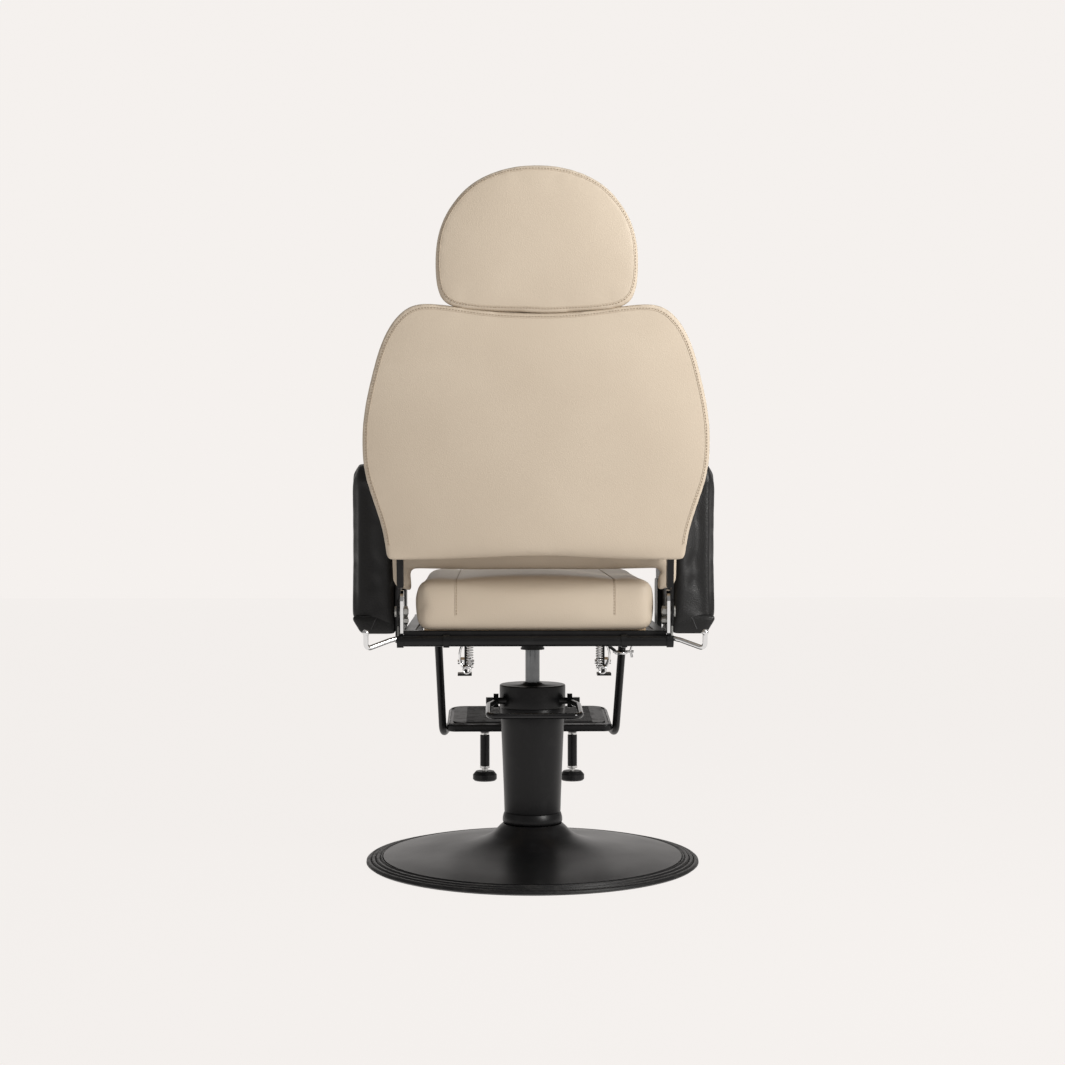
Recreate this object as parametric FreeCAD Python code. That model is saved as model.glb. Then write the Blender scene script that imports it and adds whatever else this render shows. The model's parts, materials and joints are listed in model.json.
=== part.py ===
"""Hydraulic barber chair: one solid or group of like solids per STEP file.

Millimetres. +Z is up, the sitter faces -Y, and the origin is on the column's axis at the floor.
"""
import FreeCAD, Part
import math
import os

V = FreeCAD.Vector
X_AXIS = V(1, 0, 0)
Y_AXIS = V(0, 1, 0)
Z_AXIS = V(0, 0, 1)
SIDES = (("left", 1), ("right", -1))

# ---- clearances ----
RUNNING = 0.05          # radial, shaft in its bore
LOOSE = 0.4             # between pieces that only sit near each other

# ---- base and column ----
BASE_R = 300.0
TRIM_WIDTH = 30.0
TRIM_HEIGHT = 13.0
PLATE_T = 12.0
SHELL_T = 3.0
COLLAR_R = 54.0
COLLAR_Z = 70.0
COLLAR_H = 21.0
# the cover's profile between rim and collar, as (radius, height)
COVER_CURVE = [(200, 23.5), (150, 28.5), (115, 34), (92, 41), (76, 49.5), (66, 58), (59, 65)]
SLEEVE_R_LOW = 50.5
SLEEVE_R_TOP = 58.0
SLEEVE_TOP_Z = 280.0
SLEEVE_T = 2.0
CAP_R = 59.5
CAP_H = 41.0
ROD_R = 13.0
CYLINDER_BORE_R = ROD_R + 14.0
CYLINDER_R = CYLINDER_BORE_R + 7.0
FLANGE_R = CYLINDER_R + 12.0
FLANGE_T = 10.0
BUSH_R = ROD_R + 6.0
BUSH_H = 22.0

# ---- pump pedal ----
PEDAL_SHAFT_R = 6.0
PEDAL_Y = BUSH_R + PEDAL_SHAFT_R + 5.0
PEDAL_Z = SLEEVE_TOP_Z + 14.0
PEDAL_SHAFT_END = CAP_R + 24.5
PEDAL_TUBE_R = 5.0
PEDAL_HALF_WIDTH = CAP_R + 19.5
PEDAL_REAR_Y = 190.0
PEDAL_DROP = 9.0
CRANK_REACH = 13.0
PLUNGER_R = 4.0

# ---- lift ----
ROD_FOOT_Z = 60.0
HUB_R = ROD_R + 7.0
HUB_Z = SLEEVE_TOP_Z + CAP_H + 63.0
HUB_H = 21.0
WASHER_T = 3.0
ROD_TOP_Z = HUB_Z + HUB_H - 1.0

# ---- seat frame ----
SEAT_PLATE = 190.0
SEAT_PLATE_T = 8.0
TUBE_Z = HUB_Z + HUB_H + SEAT_PLATE_T
TUBE = 20.0
FRAME_HALF_WIDTH = 222.0
FRAME_FRONT_Y = -235.0
FRAME_REAR_Y = 215.0
BEAM_X = 62.0
BOARD_T = 12.0
BOARD_HALF_WIDTH = FRAME_HALF_WIDTH - 34.0
CUSHION_HALF_WIDTH = FRAME_HALF_WIDTH - 17.0
CUSHION_FRONT_Y = -262.0
CUSHION_REAR_Y = 235.0
CUSHION_LOW_Z = TUBE_Z + TUBE + 1.0
CUSHION_TOP_Z = CUSHION_LOW_Z + 95.0

# ---- recline ----
PIVOT_Y = 218.0
PIVOT_Z = TUBE_Z + 53.0
PIVOT_R = 5.0
HINGE_T = 5.0
HINGE_R = 18.0
TAB_T = 3.5
WASHER_GAP = 2.5
TAB_R = 24.0
BAR_D = 20.0
BACK_LEAN = 7.0
LEVER_Y = PIVOT_Y + 7.0
LEVER_Z = TUBE_Z + 3.0
LEVER_BEARING_X = 150.0
HAND_ROD_X = FRAME_HALF_WIDTH + 61.0
HAND_ROD_Y = LEVER_Y + 38.0
HAND_ROD_RISE = 17.0
TORQUE_R = 9.0
LEVER_HUB_R = 12.0
LEVER_ROD_R = 4.2

# ---- backrest, drawn upright and then leaned about the pivot ----
FRONT_Y = 161.0
LIP_REAR_Y = PIVOT_Y - HINGE_R - 8.0
BACK_BOARD_Y = 228.5
BACK_BOARD_T = 12.0
REAR_PANEL_Y = BACK_BOARD_Y + BACK_BOARD_T
REAR_PANEL_T = 47.0
BACK_LOW_Z = PIVOT_Z + 96.0
BACK_HEIGHT = 406.0      # up to the dip under the headrest
BACK_LOW_HALF = FRAME_HALF_WIDTH + 27.0
LIP_Z = PIVOT_Z + 29.0
LIP_MID_Z = PIVOT_Z + 62.0
LIP_MID_HALF = FRAME_HALF_WIDTH - 10.0
BACK_TOP_Z = BACK_LOW_Z + BACK_HEIGHT
BAR_TOP_Z = BACK_TOP_Z - 75.0
BACK_CORNER_R = 16.0
# half outline as shares of the foot's half width and of the height
BACK_SHAPE = [(0, 1), (0.361, 1.011), (0.643, 1.033), (0.803, 1.025), (0.924, 0.968), (1.016, 0.869),
              (1.080, 0.741), (1.133, 0.586), (1.145, 0.470), (1.129, 0.357), (1.076, 0.244), (1.028, 0.150)]

# ---- headrest ----
HEAD_LOW_Z = BACK_TOP_Z + 2.0
HEAD_TOP_Z = HEAD_LOW_Z + 234.0
HEAD_WIDEST = 83.0       # above its foot
HEAD_FOOT_SHAPE = [(0.35, 1.5), (0.68, 5.5), (0.84, 12), (0.93, 23.5), (0.976, 40), (0.996, 62)]
HEAD_DOME_SHAPE = [(1, 0), (0.961, 0.32), (0.898, 0.484), (0.796, 0.645), (0.66, 0.79), (0.46, 0.91),
                   (0.24, 0.978)]
HEAD_BOARD_IN = 24.0
HEAD_HALF = 164.5
HEAD_FRONT_Y = 186.0
HEAD_REAR_Y = 284.0
POST_X = 50.0
POST_R = 6.0
POST_LOW_Z = BACK_TOP_Z - 160.0
POST_IN_HEAD = 70.0
GUIDE_R = POST_R + 3.0
GUIDE_LOW_Z = BACK_TOP_Z - 112.0

# ---- arms ----
ARM_IN_X = FRAME_HALF_WIDTH + 18.0
ARM_OUT_X = ARM_IN_X + 76.0
ARM_REAR_Y = 150.0
ARM_FRONT_Y = -225.0
ARM_LOW_Z = TUBE_Z + 9.0
ARM_PANEL_TOP_Z = ARM_LOW_Z + 34.0
ARM_TOP_Z = ARM_LOW_Z + 302.0
BRACKET_T = 8.0
BRACKET_W = 60.0
BRACKET_TOP_Z = ARM_LOW_Z + 86.0

# ---- footrest ----
FOOT_PIVOT_Y = -170.0
FOOT_PIVOT_Z = TUBE_Z - 15.0
FOOT_TUBE_R = 7.5
FOOT_TUBE_X = FRAME_HALF_WIDTH - 48.0
FOOT_KNEE = (-296.0, FOOT_PIVOT_Z - 203.5)
FOOT_TOE = (-440.0, FOOT_PIVOT_Z - 193.5)
FOOTPLATE_HALF = FOOT_TUBE_X - 12.0
FOOTPLATE_REAR_Y = -270.0
FOOTPLATE_DEPTH = 200.0
FOOTPLATE_T = 14.0
FOOTPLATE_TOP_Z = FOOT_PIVOT_Z - 184.0
FOOTPLATE_TILT = 4.0
MAT_T = 2.5
MAT_RIB = 1.5
FOOT_POST_X = 88.0
FOOT_POST_Y = -372.0
FOOT_POST_R = 9.5
FOOT_POST_LOW_Z = FOOTPLATE_TOP_Z - 99.0
FOOT_STEM_R = 6.0
PAD_R = 24.0
PAD_H = 20.0
LUG_X = 118.0


# ---- helpers ----
def box(x_span, y_span, z_span):
    """Box between the two values of each span."""
    low = V(min(x_span), min(y_span), min(z_span))
    high = V(max(x_span), max(y_span), max(z_span))
    size = high - low
    return Part.makeBox(size.x, size.y, size.z, low)


def rod(start, axis, radius, length):
    """Solid cylinder from a start point along an axis."""
    return Part.makeCylinder(radius, length, V(*start), axis)


def tube(start, axis, outer, inner, length):
    """Hollow cylinder."""
    return rod(start, axis, outer, length).cut(rod(start, axis, inner, length))


def fuse(shapes):
    """One solid out of several that touch."""
    whole = shapes[0].multiFuse(shapes[1:]) if len(shapes) > 1 else shapes[0]
    return whole.removeSplitter()


def cut_all(shape, tools):
    """Shape with every tool taken away."""
    for tool in tools:
        shape = shape.cut(tool)
    return shape


def turned(points, centre=V(0, 0, 0)):
    """Solid of revolution about +Z from (radius, z) points, closed along the list."""
    corners = [V(centre.x + r, centre.y, z) for r, z in points]
    face = Part.Face(Part.makePolygon(corners + [corners[0]]))
    return face.revolve(V(centre.x, centre.y, 0), Z_AXIS, 360)


def mirrored(shape):
    """The other hand, across the chair's middle plane."""
    return shape.mirror(V(0, 0, 0), X_AXIS)


def handed(shape, sign):
    """Shape for the +X side, or its mirror for the -X side."""
    return shape if sign > 0 else mirrored(shape)


def rounded(shape, radius, pick):
    """Fillet the edges that pick(edge) chooses."""
    edges = [edge for edge in shape.Edges if pick(edge)]
    return shape.makeFillet(radius, edges)


def runs_along(axis):
    """Picker of straight edges parallel to an axis."""
    def pick(edge):
        if edge.Curve.TypeId != "Part::GeomLine":
            return False
        return abs(edge.tangentAt(edge.FirstParameter).dot(axis)) > 0.99
    return pick


def extruded(wire, axis, length):
    """Solid of a planar wire moved along an axis."""
    return Part.Face(wire).extrude(axis * length)


def bent_tube(points, radius, bend):
    """Round bar through points, straight runs joined by tangent arcs."""
    corners = [V(*p) for p in points]
    edges = []
    start = corners[0]
    for before, corner, after in zip(corners, corners[1:], corners[2:]):
        come = (corner - before).normalize()
        leave = (after - corner).normalize()
        half_turn = come.getAngle(leave) / 2
        reach = bend * math.tan(half_turn)
        arc_in = corner - come * reach
        arc_out = corner + leave * reach
        inward = (leave - come).normalize()
        arc_mid = corner + inward * (bend / math.cos(half_turn) - bend)
        edges.append(Part.LineSegment(start, arc_in).toShape())
        edges.append(Part.Arc(arc_in, arc_mid, arc_out).toShape())
        start = arc_out
    edges.append(Part.LineSegment(start, corners[-1]).toShape())
    first = (corners[1] - corners[0]).normalize()
    section = Part.Wire(Part.makeCircle(radius, corners[0], first))
    return Part.Wire(edges).makePipeShell([section], True, False)


def hex_prism(start, axis, across, length):
    """Hexagonal nut or bolt head, flat to flat size across."""
    turn = FreeCAD.Rotation(Z_AXIS, axis)
    corner = across / math.sqrt(3)
    points = [V(corner * math.cos(math.radians(a)), corner * math.sin(math.radians(a)), 0)
              for a in range(0, 360, 60)]
    placed = [V(*start) + turn.multVec(p) for p in points]
    return Part.Face(Part.makePolygon(placed + [placed[0]])).extrude(axis * length)


def export(name, *solids):
    """Write one node, one file."""
    shape = solids[0] if len(solids) == 1 else Part.makeCompound(list(solids))
    if not shape.isValid() or shape.Volume <= 0:
        raise ValueError("bad solid in " + name)
    shape.exportStep("parts/" + name + ".step")


# ---- base and column ----
def make_base():
    plate_r = BASE_R - TRIM_WIDTH - LOOSE
    plate = rod((0, 0, 0), Z_AXIS, plate_r, PLATE_T)
    bolt_circle = (CYLINDER_R + FLANGE_R) / 2
    bolt_places = [(bolt_circle * math.cos(math.radians(a)), bolt_circle * math.sin(math.radians(a)))
                   for a in range(0, 360, 60)]
    bolt_holes = [rod((x, y, 0), Z_AXIS, 2.5 + RUNNING, PLATE_T + FLANGE_T) for x, y in bolt_places]
    export("base_plate", cut_all(plate, bolt_holes))

    export("base_shell", base_shell(plate_r))
    export("base_trim", base_trim())

    flange = rod((0, 0, PLATE_T), Z_AXIS, FLANGE_R, FLANGE_T)
    barrel = rod((0, 0, PLATE_T), Z_AXIS, CYLINDER_R, SLEEVE_TOP_Z - PLATE_T)
    bore = rod((0, 0, PLATE_T + FLANGE_T), Z_AXIS, CYLINDER_BORE_R, SLEEVE_TOP_Z)
    export("pump_cylinder", cut_all(fuse([flange, barrel]), [bore] + bolt_holes))
    bolts = []
    for x, y in bolt_places:
        shank = rod((x, y, 1), Z_AXIS, 2.5, PLATE_T + FLANGE_T - 1)
        bolts.append(fuse([shank, hex_prism((x, y, PLATE_T + FLANGE_T), Z_AXIS, 8, 3.5)]))
    export("flange_bolts", *bolts)


def base_shell(plate_r):
    """Pressed cover: shallow cone from the rim, flaring up to the collar, one wall thick."""
    top = [(plate_r, PLATE_T + SHELL_T)] + COVER_CURVE + [(COLLAR_R - 1, COLLAR_Z)]
    outer = [V(r, 0, z) for r, z in top]
    inner = [point - V(SHELL_T / 2, 0, SHELL_T) for point in outer]
    line = Part.BSplineCurve()
    line.interpolate(outer)
    under = Part.BSplineCurve()
    under.interpolate(inner)
    rim_end = Part.makeLine(outer[0], inner[0])
    collar_end = Part.makeLine(outer[-1], inner[-1])
    wire = Part.Wire([line.toShape(), collar_end, under.toShape(), rim_end])
    shell = Part.Face(wire).revolve(V(0, 0, 0), Z_AXIS, 360)
    skirt = tube((0, 0, PLATE_T), Z_AXIS, plate_r, plate_r - SHELL_T, SHELL_T - 1)
    return fuse([shell, skirt])


def base_trim():
    """Rim ring with three ridges on its sloping top."""
    inner = BASE_R - TRIM_WIDTH
    outline = [(inner, 0), (BASE_R - 4, 0), (BASE_R, 3), (BASE_R - 1, 6)]
    ridge = (TRIM_WIDTH - 5) / 3
    for i in range(3):
        outer = BASE_R - 1 - i * ridge
        height = 7 + 2.2 * i
        outline += [(outer - 1.5, height + 1.2), (outer - ridge + 2, height + 2.0), (outer - ridge, height)]
    outline += [(inner, TRIM_HEIGHT - 1)]
    return turned(outline)


def make_column():
    sleeve_z = COLLAR_Z + COLLAR_H
    collar = turned([(COLLAR_R - 5, COLLAR_Z), (COLLAR_R, COLLAR_Z + 1), (COLLAR_R, sleeve_z - 5),
                     (COLLAR_R - 2, sleeve_z), (SLEEVE_R_LOW - SLEEVE_T, sleeve_z),
                     (COLLAR_R - 5, COLLAR_Z + 4)])
    export("column_collar", collar)
    sleeve = turned([(SLEEVE_R_LOW - SLEEVE_T, sleeve_z), (SLEEVE_R_LOW, sleeve_z),
                     (SLEEVE_R_TOP, SLEEVE_TOP_Z), (SLEEVE_R_TOP - SLEEVE_T, SLEEVE_TOP_Z)])
    export("column_sleeve", sleeve)

    cap_top = SLEEVE_TOP_Z + CAP_H
    head_r = CAP_R - SHELL_T - LOOSE
    shaft_hole = rod((-CAP_R, PEDAL_Y, PEDAL_Z), X_AXIS, PEDAL_SHAFT_R + RUNNING, 2 * CAP_R)
    rod_hole = rod((0, 0, SLEEVE_TOP_Z), Z_AXIS, BUSH_R, CAP_H)
    head = rod((0, 0, SLEEVE_TOP_Z), Z_AXIS, head_r, CAP_H - SHELL_T - LOOSE)
    crank_room = box((-7, 7), (BUSH_R + 2, PEDAL_Y + CRANK_REACH + PLUNGER_R + 4),
                     (PEDAL_Z - 9, cap_top - SHELL_T))
    plunger_bore = rod((0, PEDAL_Y + CRANK_REACH, SLEEVE_TOP_Z), Z_AXIS, PLUNGER_R + RUNNING, CAP_H)
    export("pump_head", cut_all(head, [rod_hole, shaft_hole, crank_room, plunger_bore]))

    cap = turned([(CAP_R, SLEEVE_TOP_Z), (CAP_R, cap_top - 2.5), (CAP_R - 0.7, cap_top - 0.7),
                  (CAP_R - 2.5, cap_top), (ROD_R + 3, cap_top), (ROD_R + 3, cap_top - SHELL_T),
                  (CAP_R - SHELL_T, cap_top - SHELL_T), (CAP_R - SHELL_T, SLEEVE_TOP_Z)])
    cap_hole = rod((-CAP_R, PEDAL_Y, PEDAL_Z), X_AXIS, PEDAL_SHAFT_R + LOOSE, 2 * CAP_R)
    export("top_cap", cap.cut(cap_hole))
    bush_top = cap_top - SHELL_T - LOOSE
    export("guide_bush", tube((0, 0, bush_top - BUSH_H), Z_AXIS, BUSH_R, ROD_R + RUNNING, BUSH_H))
    seal = turned([(ROD_R + 0.3, cap_top), (ROD_R + 5, cap_top), (ROD_R + 5, cap_top + 2),
                   (ROD_R + 1.2, cap_top + 4), (ROD_R + 0.3, cap_top + 4)])
    export("wiper_seal", seal)


# ---- pump pedal ----
def make_pedal():
    shaft = rod((-PEDAL_SHAFT_END + 4, PEDAL_Y, PEDAL_Z), X_AXIS, PEDAL_SHAFT_R, 2 * PEDAL_SHAFT_END - 8)
    end_half = PEDAL_SHAFT_R
    ends = []
    for _, sign in SIDES:
        ends.append(box((sign * (PEDAL_SHAFT_END - 12), sign * PEDAL_SHAFT_END),
                        (PEDAL_Y - end_half, PEDAL_Y + end_half),
                        (PEDAL_Z - end_half, PEDAL_Z + end_half)))
    export("pedal_shaft", fuse([shaft] + ends))

    boss_x = CAP_R + 2
    boss_w = 9.0
    bar_z = PEDAL_Z - PEDAL_DROP
    route = [(boss_x + 4, PEDAL_Y + 12, PEDAL_Z), (PEDAL_HALF_WIDTH, PEDAL_Y + 62, PEDAL_Z - 1),
             (PEDAL_HALF_WIDTH, PEDAL_REAR_Y, bar_z), (-PEDAL_HALF_WIDTH, PEDAL_REAR_Y, bar_z),
             (-PEDAL_HALF_WIDTH, PEDAL_Y + 62, PEDAL_Z - 1), (-boss_x - 4, PEDAL_Y + 12, PEDAL_Z)]
    loop = bent_tube(route, PEDAL_TUBE_R, 16)
    bosses = [rod((sign * boss_x, PEDAL_Y, PEDAL_Z), X_AXIS * sign, 13, boss_w) for _, sign in SIDES]
    bore = rod((-PEDAL_SHAFT_END, PEDAL_Y, PEDAL_Z), X_AXIS, PEDAL_SHAFT_R + RUNNING, 2 * PEDAL_SHAFT_END)
    export("pedal_loop", fuse([loop] + bosses).cut(bore))

    crank_x = 6.0
    arm = box((-crank_x, crank_x), (PEDAL_Y, PEDAL_Y + CRANK_REACH + 2),
              (PEDAL_Z + 1, PEDAL_Z + PEDAL_SHAFT_R + 2))
    eye = rod((-crank_x, PEDAL_Y, PEDAL_Z), X_AXIS, PEDAL_SHAFT_R + 2.5, 2 * crank_x)
    export("pump_crank", fuse([eye, arm]).cut(bore))
    export("pump_plunger", rod((0, PEDAL_Y + CRANK_REACH, SLEEVE_TOP_Z + 2), Z_AXIS, PLUNGER_R,
                               PEDAL_Z + 0.2 - SLEEVE_TOP_Z - 2))


# ---- lift and swivel ----
def make_lift():
    export("piston_rod", rod((0, 0, ROD_FOOT_Z), Z_AXIS, ROD_R, ROD_TOP_Z - ROD_FOOT_Z))
    head_z = ROD_FOOT_Z + 4
    export("piston_head", tube((0, 0, head_z), Z_AXIS, CYLINDER_BORE_R - RUNNING, ROD_R, 24))


def make_swivel():
    plate_z = HUB_Z + HUB_H
    hub = tube((0, 0, HUB_Z + WASHER_T), Z_AXIS, HUB_R, ROD_R + RUNNING, HUB_H - WASHER_T)
    export("swivel_hub", hub)
    export("thrust_washer", tube((0, 0, HUB_Z), Z_AXIS, HUB_R + 1.5, ROD_R + RUNNING, WASHER_T))
    half = SEAT_PLATE / 2
    plate = box((-half, half), (-half, half), (plate_z, plate_z + SEAT_PLATE_T))
    plate = rounded(plate, 12, runs_along(Z_AXIS))
    bolt_y = half - 18
    places = [(sx * BEAM_X, sy * bolt_y) for sx in (-1, 1) for sy in (-1, 1)]
    holes = [rod((x, y, plate_z - 1), Z_AXIS, 4 + RUNNING, SEAT_PLATE_T + TUBE + 2) for x, y in places]
    export("mounting_plate", cut_all(plate, holes))
    bolts = []
    for x, y in places:
        shank = rod((x, y, plate_z), Z_AXIS, 4, SEAT_PLATE_T + TUBE - 3)
        bolts.append(fuse([shank, hex_prism((x, y, plate_z - 5), Z_AXIS, 13, 5)]))
    export("plate_bolts", *bolts)
    return holes


# ---- seat frame ----
def make_frame(plate_holes):
    top_z = TUBE_Z + TUBE
    tube_high = (TUBE_Z, top_z)
    rear = box((-FRAME_HALF_WIDTH, FRAME_HALF_WIDTH), (FRAME_REAR_Y - TUBE, FRAME_REAR_Y), tube_high)
    front = box((-FRAME_HALF_WIDTH, FRAME_HALF_WIDTH), (FRAME_FRONT_Y, FRAME_FRONT_Y + TUBE), tube_high)
    export("rear_cross_tube", rounded(rear, 2, runs_along(X_AXIS)))
    export("front_cross_tube", rounded(front, 2, runs_along(X_AXIS)))
    between = (FRAME_FRONT_Y + TUBE, FRAME_REAR_Y - TUBE)
    rail = box((FRAME_HALF_WIDTH - TUBE, FRAME_HALF_WIDTH), between, tube_high)
    rail = rounded(rail, 2, runs_along(Y_AXIS))
    export("side_rails", rail, mirrored(rail))
    beam = box((BEAM_X - TUBE, BEAM_X + TUBE), between, tube_high)
    beam = rounded(beam, 2, runs_along(Y_AXIS))
    export("centre_beams", cut_all(beam, plate_holes), cut_all(mirrored(beam), plate_holes))

    board_front_y = CUSHION_FRONT_Y + 24
    board_rear_y = CUSHION_REAR_Y - 26
    board = box((-BOARD_HALF_WIDTH, BOARD_HALF_WIDTH), (board_front_y, board_rear_y), (top_z, top_z + BOARD_T))
    export("seat_board", board)
    cushion = box((-CUSHION_HALF_WIDTH, CUSHION_HALF_WIDTH), (CUSHION_FRONT_Y, CUSHION_REAR_Y),
                  (CUSHION_LOW_Z, CUSHION_TOP_Z))
    cushion = rounded(cushion, 26, runs_along(Z_AXIS))
    cushion = rounded(cushion, 24, lambda edge: edge.BoundBox.ZMin > CUSHION_TOP_Z - 1)
    cushion = rounded(cushion, 22, lambda edge: edge.BoundBox.ZMax < CUSHION_LOW_Z + 1)
    pocket = box((-BOARD_HALF_WIDTH - LOOSE, BOARD_HALF_WIDTH + LOOSE),
                 (board_front_y - LOOSE, board_rear_y + LOOSE), (CUSHION_LOW_Z, top_z + BOARD_T))
    export("seat_cushion", cushion.cut(pocket))


def make_hinge_plates():
    """Chrome plates on the ends of the rear cross tube that carry the backrest's pivots."""
    in_x = FRAME_HALF_WIDTH
    heel_y = FRAME_REAR_Y - 75
    hub_room = rod((in_x - 1, LEVER_Y, LEVER_Z), X_AXIS, LEVER_HUB_R + 1, HINGE_T + 2)
    outline = [V(in_x, heel_y, TUBE_Z), V(in_x, FRAME_REAR_Y, TUBE_Z),
               V(in_x, PIVOT_Y + HINGE_R, LEVER_Z + 14),
               V(in_x, PIVOT_Y + HINGE_R, PIVOT_Z + HINGE_R), V(in_x, PIVOT_Y - HINGE_R, PIVOT_Z + HINGE_R),
               V(in_x, PIVOT_Y - HINGE_R - 12, TUBE_Z + TUBE + 14), V(in_x, heel_y, TUBE_Z + TUBE)]
    plate = extruded(Part.makePolygon(outline + [outline[0]]), X_AXIS, HINGE_T)
    crown = rod((in_x, PIVOT_Y, PIVOT_Z + HINGE_R), X_AXIS, HINGE_R, HINGE_T)
    heel_bolt_places = [(heel_y + 14, TUBE_Z + TUBE / 2), (FRAME_REAR_Y - TUBE - 12, TUBE_Z + TUBE / 2)]
    heel_holes = [rod((in_x - 1, y, z), X_AXIS, 3 + RUNNING, HINGE_T + 2) for y, z in heel_bolt_places]
    stop_place = (PIVOT_Y - 6, PIVOT_Z - 16)
    pivot_hole = rod((in_x - 1, PIVOT_Y, PIVOT_Z), X_AXIS, PIVOT_R + RUNNING, HINGE_T + 2)
    stop_hole = rod((in_x - 1, stop_place[0], stop_place[1]), X_AXIS, 3 + RUNNING, HINGE_T + 2)
    plate = cut_all(fuse([plate, crown]), [hub_room, pivot_hole, stop_hole] + heel_holes)

    tab_x = in_x + HINGE_T + WASHER_GAP
    bolt_out = tab_x + TAB_T + 0.6
    nut_x = in_x - 8
    shank = rod((nut_x, PIVOT_Y, PIVOT_Z), X_AXIS, PIVOT_R, bolt_out - nut_x)
    nut = hex_prism((in_x - 7, PIVOT_Y, PIVOT_Z), X_AXIS, 15, 6.6)
    head = rod((bolt_out, PIVOT_Y, PIVOT_Z), X_AXIS, 9, 3.4)
    spacer = rod((in_x + HINGE_T + 0.2, PIVOT_Y, PIVOT_Z), X_AXIS, 9, WASHER_GAP - 0.5)
    stop_pin = rod((nut_x, stop_place[0], stop_place[1]), X_AXIS, 3, in_x + HINGE_T - nut_x)
    stop_nut = hex_prism((in_x - 7, stop_place[0], stop_place[1]), X_AXIS, 11, 6.6)
    pivot_set = [fuse([shank, nut, head, spacer]), fuse([stop_pin, stop_nut])]
    for y, z in heel_bolt_places:
        pivot_set.append(rod((in_x + 0.4, y, z), X_AXIS, 3, HINGE_T - 0.4).fuse(
            rod((in_x + HINGE_T, y, z), X_AXIS, 5.5, 2.0)))
    export("hinge_plates", plate, mirrored(plate))
    bolts = pivot_set + [mirrored(bolt) for bolt in pivot_set]
    export("hinge_bolts", *bolts)
    return tab_x


# ---- arms ----
def make_arms():
    """Padded side arms on two steel brackets each, bolted up under the side rails."""
    foot_t = 6.0
    foot_in = FRAME_HALF_WIDTH - TUBE
    bracket_x = (ARM_IN_X - BRACKET_T, ARM_IN_X)
    bolts = []
    brackets = []
    for side, sign in SIDES:
        for middle in (ARM_REAR_Y - BRACKET_W / 2 - 6, ARM_FRONT_Y + BRACKET_W / 2 + 100):
            span = (middle - BRACKET_W / 2, middle + BRACKET_W / 2)
            upright = box(bracket_x, span, (TUBE_Z - foot_t, BRACKET_TOP_Z))
            foot = box((foot_in, ARM_IN_X), span, (TUBE_Z - foot_t, TUBE_Z))
            bracket = fuse([upright, foot])
            bracket = rounded(bracket, 10, lambda edge: (runs_along(X_AXIS)(edge)
                                                         and edge.BoundBox.ZMin > BRACKET_TOP_Z - 1))
            for y in (middle - 18, middle + 18):
                hole = rod((foot_in + TUBE / 2, y, TUBE_Z - foot_t - 1), Z_AXIS, 3 + RUNNING, foot_t + 2)
                bracket = bracket.cut(hole)
                shank = rod((foot_in + TUBE / 2, y, TUBE_Z - foot_t - 4), Z_AXIS, 3, foot_t + 4)
                head = hex_prism((foot_in + TUBE / 2, y, TUBE_Z - foot_t - 4), Z_AXIS, 10, 4)
                bolts.append(handed(fuse([shank, head]), sign))
            brackets.append(handed(bracket, sign))
        export("arm_pad_" + side, handed(arm_pad(), sign))
    panel = arm_panel()
    export("arm_panels", panel, mirrored(panel))
    export("arm_brackets", *brackets)
    export("arm_bolts", *bolts)


def arm_outline(x, low_z, inset=0.0):
    """Side outline of an arm: upright at the rear, top falling a little to a rounded front."""
    rear = ARM_REAR_Y - inset
    front = ARM_FRONT_Y + inset
    top_rear = V(x, rear, ARM_TOP_Z - 40)
    top_front = V(x, front, ARM_TOP_Z - 92)
    curve = Part.BSplineCurve()
    curve.interpolate([top_rear, V(x, rear - 12, ARM_TOP_Z - 10 - inset), V(x, rear - 48, ARM_TOP_Z - inset),
                       V(x, (rear + front) / 2, ARM_TOP_Z - 14 - inset),
                       V(x, front + 52, ARM_TOP_Z - 36 - inset),
                       V(x, front + 12, ARM_TOP_Z - 56 - inset), top_front])
    low_front = V(x, front + 40, low_z)
    low_rear = V(x, rear, low_z)
    return Part.Wire([curve.toShape(), Part.makeLine(top_front, low_front),
                      Part.makeLine(low_front, low_rear), Part.makeLine(low_rear, top_rear)])


def arm_pad():
    pad = extruded(arm_outline(ARM_IN_X, ARM_PANEL_TOP_Z + LOOSE), X_AXIS, ARM_OUT_X - ARM_IN_X)
    return rounded(pad, 14, lambda edge: edge.BoundBox.XMax - edge.BoundBox.XMin < 1)


def arm_panel():
    """Flat covered skirt below the pad, its outer lower corner cut away."""
    front = ARM_FRONT_Y + 40
    x_out = ARM_OUT_X - 1.5
    corners = [V(ARM_IN_X, front, ARM_LOW_Z), V(x_out - 15, front, ARM_LOW_Z),
               V(x_out, front, ARM_LOW_Z + 25),
               V(x_out, front, ARM_PANEL_TOP_Z), V(ARM_IN_X, front, ARM_PANEL_TOP_Z)]
    panel = extruded(Part.makePolygon(corners + [corners[0]]), Y_AXIS, ARM_REAR_Y - 3 - front)
    return rounded(panel, 3, runs_along(Y_AXIS))


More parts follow.
